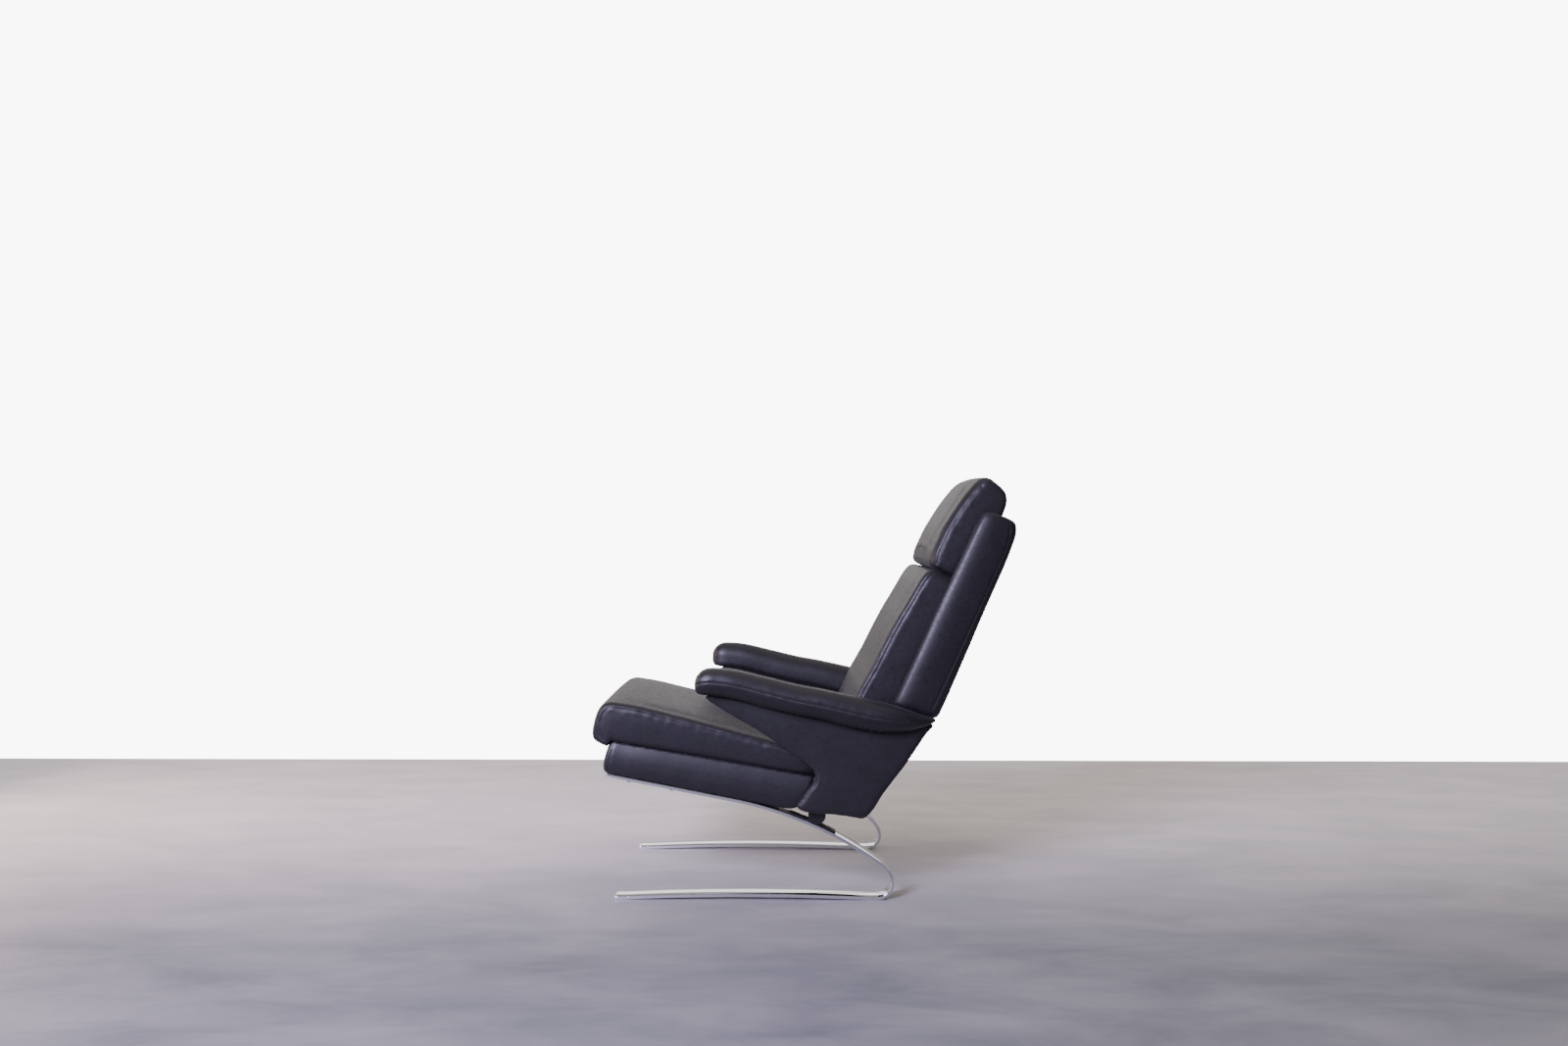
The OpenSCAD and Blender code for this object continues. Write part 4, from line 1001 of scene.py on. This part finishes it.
def boxTop(u):
    return seatBox["height"] + seatBox["rise"] * u / seatBox["length"]


def makeSeatCushion():
    c = seatCushion
    rings, topLine = [], []
    for s, low, high, wide in finerRows(c["rows"], c["length"], 8):
        u = s * c["length"] - c["nose"]
        base = boxTop(max(u, 0)) - 0.5   # the cushion's weight presses it onto the box
        half = wide * c["width"] / 2 - c["bulge"]
        lo, hi = base + low * c["height"], base + high * c["height"]
        ring = padRing(half, lo, hi, c["topRound"], c["lowRound"], c["bulge"], c["crown"])
        rings.append([seatPoint(u, a, v) for a, v in ring])
        topLine.append((u, hi))
    obj = skinRings("seatCushionCover", rings)
    remesh(obj, c["voxel"])
    # seam between the top panel and the side border, inside the silhouette
    first, last = c["seamFrom"], c["length"] - c["nose"] - c["seamEnd"]
    seam = [(u, hi - c["seamDrop"]) for u, hi in topLine if first < u < last]
    drawn = c["curl"] + seam[::3]
    held = heldBy(obj, bothSides(obj, seatPoint, drawn, 262))
    normals = getNormals(obj)
    down = Vector(seatPoint(0, 0, -1)) - Vector(seatPoint(0, 0, 0))
    down = np.array(down.normalized())
    # its underside stays flat on the box, behind the lip
    held[(normals @ down > 0.7) & (getPoints(obj)[:, 0] > c["lipX"] * mm)] = 1.0
    stuff(obj, held, c["cap"])
    subdivide(obj)
    soften(obj, *c["uneven"])
    sewPad(obj, c, bothSides(obj, seatPoint, drawn, 275), "seat", "seat_cushion")


makeSeatCushion()
print("seat cushion filled")


# Back cushion and headrest

backCushion = {
    "start": 80.0, "height": 580.0, "depth": 152.0, "width": 506.0, "rear": 44.9, "voxel": 6.0,
    "frontRound": 15.0, "rearRound": 10.0, "bulge": 2.0, "crown": 6.0, "cap": 2.6, "fill": 0.8,
    "seamDepth": 20.0, "seamSpan": (100, 652), "seam": (1.8, 2.6, 0.9), "uneven": (0.9, 0.15, 5.8),
    # height share, then front and rear as shares of the depth, then the share of the width
    "rows": [
        [0.000, 0.420, 0.24, 0.90], [0.006, 0.530, 0.12, 0.945], [0.018, 0.598, 0.04, 0.975],
        [0.040, 0.628, 0.00, 0.990], [0.065, 0.672, 0.00, 0.996], [0.106, 0.738, 0.00, 1.000],
        [0.130, 0.775, 0.00, 1.000], [0.200, 0.818, 0.00, 0.998], [0.250, 0.847, 0.00, 0.996],
        [0.340, 0.906, 0.00, 0.994], [0.444, 0.963, 0.00, 0.994], [0.520, 0.940, 0.00, 0.994],
        [0.610, 0.930, 0.00, 0.994], [0.700, 0.914, 0.00, 0.996], [0.755, 0.899, 0.00, 0.998],
        [0.814, 0.872, 0.00, 1.000], [0.880, 0.850, 0.00, 1.000], [0.919, 0.835, 0.00, 0.998],
        [0.957, 0.810, 0.00, 0.992], [0.985, 0.765, 0.03, 0.975], [0.996, 0.69, 0.12, 0.94],
        [1.000, 0.60, 0.25, 0.90]],
}
headrest = {
    "start": 659.0, "height": 262.0, "depth": 129.0, "width": 472.0, "rear": 44.9, "voxel": 5.0,
    "frontRound": 26.0, "rearRound": 10.0, "bulge": 2.0, "crown": 7.0, "cap": 1.8, "fill": 0.85,
    "seamDepth": 24.0, "seamSpan": (672, 895), "seam": (1.8, 2.6, 0.9), "uneven": (0.9, 0.15, 2.62),
    "rows": [
        [0.000, 0.80, 0.14, 0.88], [0.012, 0.88, 0.05, 0.945], [0.035, 0.93, 0.00, 0.98],
        [0.080, 0.955, 0.00, 0.995], [0.170, 0.985, 0.00, 1.00], [0.350, 0.985, 0.00, 1.00],
        [0.520, 0.950, 0.00, 1.00], [0.680, 0.900, 0.00, 1.00], [0.810, 0.840, 0.01, 1.00],
        [0.900, 0.785, 0.065, 0.995], [0.950, 0.740, 0.16, 0.985], [0.980, 0.700, 0.32, 0.965],
        [1.000, 0.620, 0.46, 0.94]],
}


def makeBackPad(name, c, node):
    rings, front = [], []
    for s, fore, aft, wide in finerRows(c["rows"], c["height"], 8):
        z = c["start"] + s * c["height"]
        base = shellBehind(z) - c["rear"]
        x0, x1 = base - fore * c["depth"], base - aft * c["depth"]
        half = wide * c["width"] / 2 - c["bulge"]
        # the ring's up is the way to the sitter
        ring = padRing(half, -x1, -x0, c["frontRound"], c["rearRound"], c["bulge"], c["crown"])
        rings.append([backPoint(-v, a, z) for a, v in ring])
        front.append((x0, z))
    obj = skinRings(name, rings)
    remesh(obj, c["voxel"])
    low, high = c["seamSpan"]
    drawn = [(x + c["seamDepth"], z) for x, z in front if low < z < high][::3]
    held = heldBy(obj, bothSides(obj, backPoint, drawn, 262))
    away = np.array((Vector(backPoint(1, 0, 0)) - Vector(backPoint(0, 0, 0))).normalized())
    held[getNormals(obj) @ away > 0.7] = 1.0
    stuff(obj, held, c["cap"])
    subdivide(obj)
    soften(obj, *c["uneven"])
    sewPad(obj, c, bothSides(obj, backPoint, drawn, 275), "back", node)


makeBackPad("backCushionCover", backCushion, "back_cushion")
makeBackPad("headrestCover", headrest, "headrest_cushion")
print("back cushion and headrest filled")


# Back shell

shell = {
    "voxel": 5.0, "fall": 13.5, "front": 51.0, "start": 332.5, "seam": (1.3, 2.2, 0.3),
    "uneven": (0.6, 0.12, 5.2),
    # cuts seen from the side, as distance in front of the back's rear face and height
    "wallHalf": 257.2, "wall": [(44.6, 63), (4, 63), (1, 66), (0, 70), (0, 337), (0.5, 352),
                                (44.6, 352), (44.6, 337)],
    "trayHalf": 255, "tray": [(300, 324), (11.7, 324), (11.7, 337), (11.7, 786.3), (44.6, 786.3),
                              (44.6, 900), (300, 900)],
    "lowHalf": 248, "lowTray": [(300, 74), (11.7, 74), (11.7, 330), (300, 330)],
    # the rear panel's seam on the side band
    "rearSeam": [(9, 350), (9, 420), (9, 500), (9, 600), (10.5, 700), (13, 780), (18, 812),
                 (24, 826)],
    # how far the side stands in along the depth: share of the depth, then mm
    "inset": [(0.00, 13.0), (0.015, 9.5), (0.05, 6.2), (0.10, 3.8), (0.20, 1.3), (0.33, 0.0),
              (0.50, 0.7),
              (0.65, 2.0), (0.78, 3.4), (0.88, 4.8), (0.94, 6.4), (0.975, 8.8), (1.00, 13.0)],
    # height, front, rear, widest half width in mm
    "rows": [
        [332.5, 54.0, 159.5, 268.0], [336.0, 52.0, 162.5, 271.5], [344.0, 51.0, 164.0, 274.0],
        [362.0, 51.0, 164.2, 275.0], [420.0, 51.0, 163.6, 275.0], [494.0, 51.0, 161.6, 275.0],
        [591.0, 51.0, 158.3, 275.0], [667.0, 51.0, 156.7, 275.0], [733.0, 51.0, 155.2, 275.0],
        [791.0, 51.0, 151.8, 275.0], [812.0, 51.6, 149.4, 274.5], [826.0, 53.3, 146.0, 273.2],
        [835.0, 56.5, 142.6, 271.4], [841.0, 61.5, 139.0, 268.4], [844.5, 69.0, 134.4, 264.0],
        [846.0, 80.0, 128.0, 258.0]],
}


def shellRing(x0, x1, half):
    # plan of the shell at one height: round front edge, sides fullest a third back
    deep = x1 - x0
    side = openCurve([(x0 + share * deep, half - inset) for share, inset in shell["inset"]], 5)
    ring = [(x, y) for x, y in side]
    for t in np.linspace(0, 1, 40)[1:-1]:
        y = side[-1][1] * (1 - 2 * t)
        ring.append((x1 + 2.0 * (1 - (2 * t - 1) ** 2), y))
    ring += [(x, -y) for x, y in side[::-1]]
    for t in np.linspace(0, 1, 30)[1:-1]:
        ring.append((x0, side[0][1] * (2 * t - 1)))
    return ring


def fromRear(points):
    return [(shellBehind(z) - d, z) for d, z in points]


def makeShell():
    c = shell
    rows = finerRows(c["rows"], 1, 12)
    rings = []
    counts = []
    for z, x0, x1, half in rows:
        ring = shellRing(x0, x1, half)
        counts.append(len(ring))
        drop = max(0.0, 1 - (z - c["start"]) / 60)
        rings.append([(x, y, z - c["fall"] * drop * (1 - (x - c["front"]) / 100)) for x, y in ring])
    least = min(counts)
    even = []
    for ring in rings:
        arr = np.array(ring + [ring[0]])
        run = runOf(arr)
        at = np.linspace(0, run[-1], least, endpoint=False)
        even.append([backPoint(*[np.interp(t, run, arr[:, k]) for k in range(3)]) for t in at])
    obj = skinRings("backShellCover", even)
    cut(obj, slab("wall", fromRear(c["wall"]), -c["wallHalf"], c["wallHalf"], backPoint), "UNION")
    cut(obj, slab("tray", fromRear(c["tray"]), -c["trayHalf"], c["trayHalf"], backPoint))
    cut(obj, slab("lowTray", fromRear(c["lowTray"]), -c["lowHalf"], c["lowHalf"], backPoint))
    remesh(obj, c["voxel"], 2)
    grow(obj, 1.0)
    subdivide(obj)
    soften(obj, *c["uneven"])
    # the rear panel is set in behind the side band
    for line in bothSides(obj, backPoint, fromRear(c["rearSeam"]), 290):
        pressSeam(obj, line, *c["seam"])
    dress(obj, "back", "black_leather", "back_shell")


makeShell()
print("shell covered")


# Side panels

sidePanel = {
    "inner": 258.0, "thick": 32.0, "voxel": 4.0, "crown": 1.6,
    "seamInset": 6.0, "seam": (0.9, 1.8, 0.2), "uneven": (0.5, 0.10, 7.7),
    # outline from the pivot: underside and rear edge, under the arm, then nose and notch
    "outline": [
        (-37.4, 16.4), (46.2, 7.1), (86.0, 1.4), (109.0, -2.2), (121.0, 4.6), (139.5, 27.0),
        (155.0, 53.0),
        (212.3, 128.0), (263.4, 204.0), (281.0, 224.8), (248.7, 217.5), (216.3, 210.5),
        (182.8, 208.7),
        (145.8, 209.9), (91.4, 218.8), (11.0, 239.3), (-43.9, 250.3), (-125.5, 269.2),
        (-217.4, 292.2),
        (-253.3, 296.2), (-269.5, 290.8), (-221.1, 255.2), (-143.0, 209.9), (-69.8, 160.9),
        (-36.8, 138.9),
        (-17.0, 124.0), (-6.0, 110.1), (-3.8, 100.1), (-7.1, 85.0), (-20.9, 67.0), (-36.8, 45.0),
        (-49.5, 26.4)],
}


def makeSidePanel(side):
    c = sidePanel
    outline = closedCurve(c["outline"], 6)
    y0, y1 = sorted((side * (c["inner"] + 0.2), side * (c["inner"] + c["thick"])))
    name = "sidePanelCover_" + hand(side)
    obj = slab(name, [tuple(p) for p in outline], y0, y1, sidePoint)
    remesh(obj, c["voxel"], 6)
    pts = getPoints(obj)
    edge = np.array([sidePoint(p[0], 0, p[1]) for p in outline])
    flat = pts.copy()
    flat[:, 1] = 0
    dist, _ = nearest(flat, treeOf(edge))
    outer = np.clip((pts[:, 1] * side - (c["inner"] + 20) * mm) / (8 * mm), 0, 1)
    pts[:, 1] += side * c["crown"] * mm * (1 - np.exp(-dist / 0.02)) * outer
    setPoints(obj, pts)
    subdivide(obj)
    soften(obj, *c["uneven"])
    # the outer cover is sewn to the edge band near the rim
    inset = []
    n = len(outline)
    for i, p in enumerate(outline):
        d = outline[(i + 1) % n] - outline[i - 1]
        d = d / np.linalg.norm(d)
        inset.append(p + c["seamInset"] * np.array([-d[1], d[0]]))
    path = [sidePoint(p[0], side * 300, p[1]) for p in inset + inset[:1]]
    line = ontoSurface(obj, np.array(path), (0, -side, 0))
    pressSeam(obj, line, *c["seam"])
    dress(obj, "back", "black_leather", "side_panel_" + hand(side))


for side in (-1, 1):
    makeSidePanel(side)
print("side panels covered")


# Armrests

armrest = {
    "noseX": -292.58936, "length": 578.31, "base": 208.03684, "fall": 153.0,
    "seam": (1.6, 2.4, 0.7), "seamHeight": 0.54, "seamEnd": 0.9, "uneven": (0.6, 0.09, 9.3),
    "inner": 262.0, "width": 89.0, "voxel": 5.0, "cap": 2.0, "fill": 0.85,
    # length share, low, high, inner and outer shares
    "rows": [
        [0.000, 0.673, 0.804, 0.31, 0.70], [0.004, 0.630, 0.863, 0.21, 0.80],
        [0.014, 0.600, 0.920, 0.11, 0.90], [0.034, 0.588, 0.985, 0.03, 0.97],
        [0.068, 0.578, 1.014, 0.00, 1.00], [0.130, 0.552, 1.000, 0.00, 1.00],
        [0.289, 0.402, 0.870, 0.00, 1.00], [0.430, 0.278, 0.739, 0.00, 1.00],
        [0.525, 0.206, 0.678, 0.00, 1.00], [0.664, 0.072, 0.566, 0.00, 1.00],
        [0.758, 0.014, 0.486, 0.00, 0.99], [0.822, 0.006, 0.430, 0.00, 0.94],
        [0.880, 0.018, 0.355, 0.02, 0.83], [0.936, 0.064, 0.268, 0.04, 0.65],
        [0.984, 0.125, 0.212, 0.07, 0.43], [1.000, 0.160, 0.190, 0.11, 0.31]],
    # section from its inner underside over the top to the outside
    "section": [
        (0.00, 0.35), (0.02, 0.62), (0.10, 0.84), (0.24, 0.96), (0.42, 1.00), (0.62, 0.995),
        (0.80, 0.955), (0.93, 0.84), (0.995, 0.64), (0.99, 0.42), (0.93, 0.25), (0.82, 0.12),
        (0.66, 0.03), (0.50, 0.00), (0.05, 0.00), (0.00, 0.08)],
}


def makeArmrest(side):
    c = armrest
    section = closedCurve(c["section"], 0.03)
    rings, seam = [], []
    for s, low, high, inner, outer in finerRows(c["rows"], c["length"], 8):
        x = c["noseX"] + s * c["length"]
        z0, z1 = c["base"] + low * c["fall"], c["base"] + high * c["fall"]
        y0, y1 = c["inner"] + inner * c["width"], c["inner"] + outer * c["width"]
        rings.append([sidePoint(x, side * (y0 + a * (y1 - y0)), z0 + b * (z1 - z0))
                      for a, b in section])
        if s < c["seamEnd"]:
            seam.append((x, z0 + c["seamHeight"] * (z1 - z0)))
    obj = skinRings("armrestCover_" + hand(side), rings)
    remesh(obj, c["voxel"], 1)
    path = openCurve([sidePoint(x, side * 370, z) for x, z in seam[::3]], 4 * mm)
    line = ontoSurface(obj, path, (0, -side, 0))
    held = heldBy(obj, [line])
    held[getNormals(obj)[:, 2] < -0.75] = 1.0
    stuff(obj, held, c["cap"], slack=1.5)
    subdivide(obj)
    soften(obj, *c["uneven"])
    sewPad(obj, c, [ontoSurface(obj, path, (0, -side, 0))], "back", "armrest_" + hand(side))


for side in (-1, 1):
    makeArmrest(side)
print("armrests filled")


# Studio

studio = {
    "floorHalf": 7.0,
    "floorEnd": 1.48,   # metres; the floor ends behind the chair where the photo's does
    "wall": "#f4f4f8", "wallGlow": 10.0,
    # Z part of the direction, 0 at the horizon and 1 straight up, then brightness
    "bands": [(0, 0.3), (0.11, 0.35), (0.20, 2.1), (0.31, 2.1), (0.37, 0.40), (0.60, 0.40),
              (1, 0.6)],
    "roomWarm": "#fcf6f2", "roomCool": "#9b96a8", "roomDark": "#1b1b20", "roomGlow": 1.0,
    # place, aim, size, watts and colour
    "lights": {
        "softKey": ((-2.8, 0.2, 0.98), (0, 0, 0.65), 1.4, 25, "#ffe2d2"),
        "coolSide": ((-1.7, -2.8, 1.95), (0, 0, 0.5), 1.2, 235, "#dad4ff")},
    # mm, then metres and degrees
    "lens": 27.59, "sensor": 36.0, "cameraPlace": (-0.0175, -3.169, 0.9165), "cameraTurn": 0.6075,
}


def makeStudio():
    half, end = studio["floorHalf"], studio["floorEnd"]
    floor = meshObject("studioFloor",
                       [(-half, -half, 0), (half, -half, 0), (half, end, 0), (-half, end, 0)],
                       [(0, 1, 2, 3)])
    floor.data.materials.append(smoothedConcrete())

    world = bpy.data.worlds.new("paleRoom")
    scene.world = world
    world.use_nodes = True
    tree = world.node_tree
    tree.nodes.clear()
    # the room is bright behind and above the chair, and darker and cooler behind the camera
    place = addNode(tree, "TexCoord").outputs["Generated"]
    axes = addNode(tree, "SeparateXYZ", None, {0: place})
    back = addNode(tree, "MapRange",
                   {"From Min": -0.15, "From Max": 0.55, "interpolation_type": "SMOOTHSTEP"},
                   {"Value": axes.outputs["Y"]})
    high = addNode(tree, "MapRange",
                   {"From Min": 0.45, "From Max": 1.0, "interpolation_type": "SMOOTHSTEP"},
                   {"Value": axes.outputs["Z"]})
    lit = addNode(tree, "Math", {"operation": "MAXIMUM"},
                  {0: back.outputs["Result"], 1: high.outputs["Result"]})
    tone = addNode(tree, "Mix",
                   {"data_type": "RGBA", 6: hexToLinear(studio["roomCool"]),
                    7: hexToLinear(studio["roomWarm"])}, {0: lit.outputs[0]})
    # a dark corner of the room at the right gives the chrome its dark lines
    right = addNode(tree, "MapRange",
                    {"From Min": 0.72, "From Max": 0.82, "interpolation_type": "SMOOTHSTEP"},
                    {"Value": axes.outputs["X"]})
    walls = addNode(tree, "Mix", {"data_type": "RGBA", 7: hexToLinear(studio["roomDark"])},
                   {0: right.outputs["Result"], 6: tone.outputs[2]})
    # a bright band a little above the horizon, dim below and above it: lines for the chrome
    glow = addNode(tree, "ValToRGB", None, {"Fac": axes.outputs["Z"]})
    bands = glow.color_ramp
    for at, level in studio["bands"]:
        stop = bands.elements.new(at) if 0 < at < 1 else bands.elements[int(at)]
        stop.color = (level, level, level, 1)
    strength = addNode(tree, "Math", {"operation": "MULTIPLY", 1: studio["roomGlow"]},
                       {0: glow.outputs["Color"]})
    room = addNode(tree, "Background", None,
                   {"Color": walls.outputs[2], "Strength": strength.outputs[0]})
    seen = addNode(tree, "Background",
                   {"Color": hexToLinear(studio["wall"]), "Strength": studio["wallGlow"]})
    rays = addNode(tree, "LightPath")
    mix = addNode(tree, "MixShader", None,
                  {0: rays.outputs["Is Camera Ray"], 1: room.outputs["Background"],
                   2: seen.outputs["Background"]})
    addNode(tree, "OutputWorld", None, {"Surface": mix.outputs["Shader"]})

    for name, (place, aim, side, watts, colour) in studio["lights"].items():
        data = bpy.data.lights.new(name, "AREA")
        data.shape, data.size, data.energy = "SQUARE", side, watts
        data.color = hexToLinear(colour)[:3]
        light = bpy.data.objects.new(name, data)
        light.location = place
        light.rotation_euler = (Vector(aim) - Vector(place)).to_track_quat("-Z", "Y").to_euler()
        light.visible_camera = False
        scene.collection.objects.link(light)

    data = bpy.data.cameras.new("photoView")
    data.lens, data.sensor_width = studio["lens"], studio["sensor"]
    camera = bpy.data.objects.new("photoView", data)
    camera.location = studio["cameraPlace"]
    camera.rotation_euler = (math.radians(90), 0, math.radians(studio["cameraTurn"]))
    scene.collection.objects.link(camera)
    scene.camera = camera


makeStudio()
print("studio set")
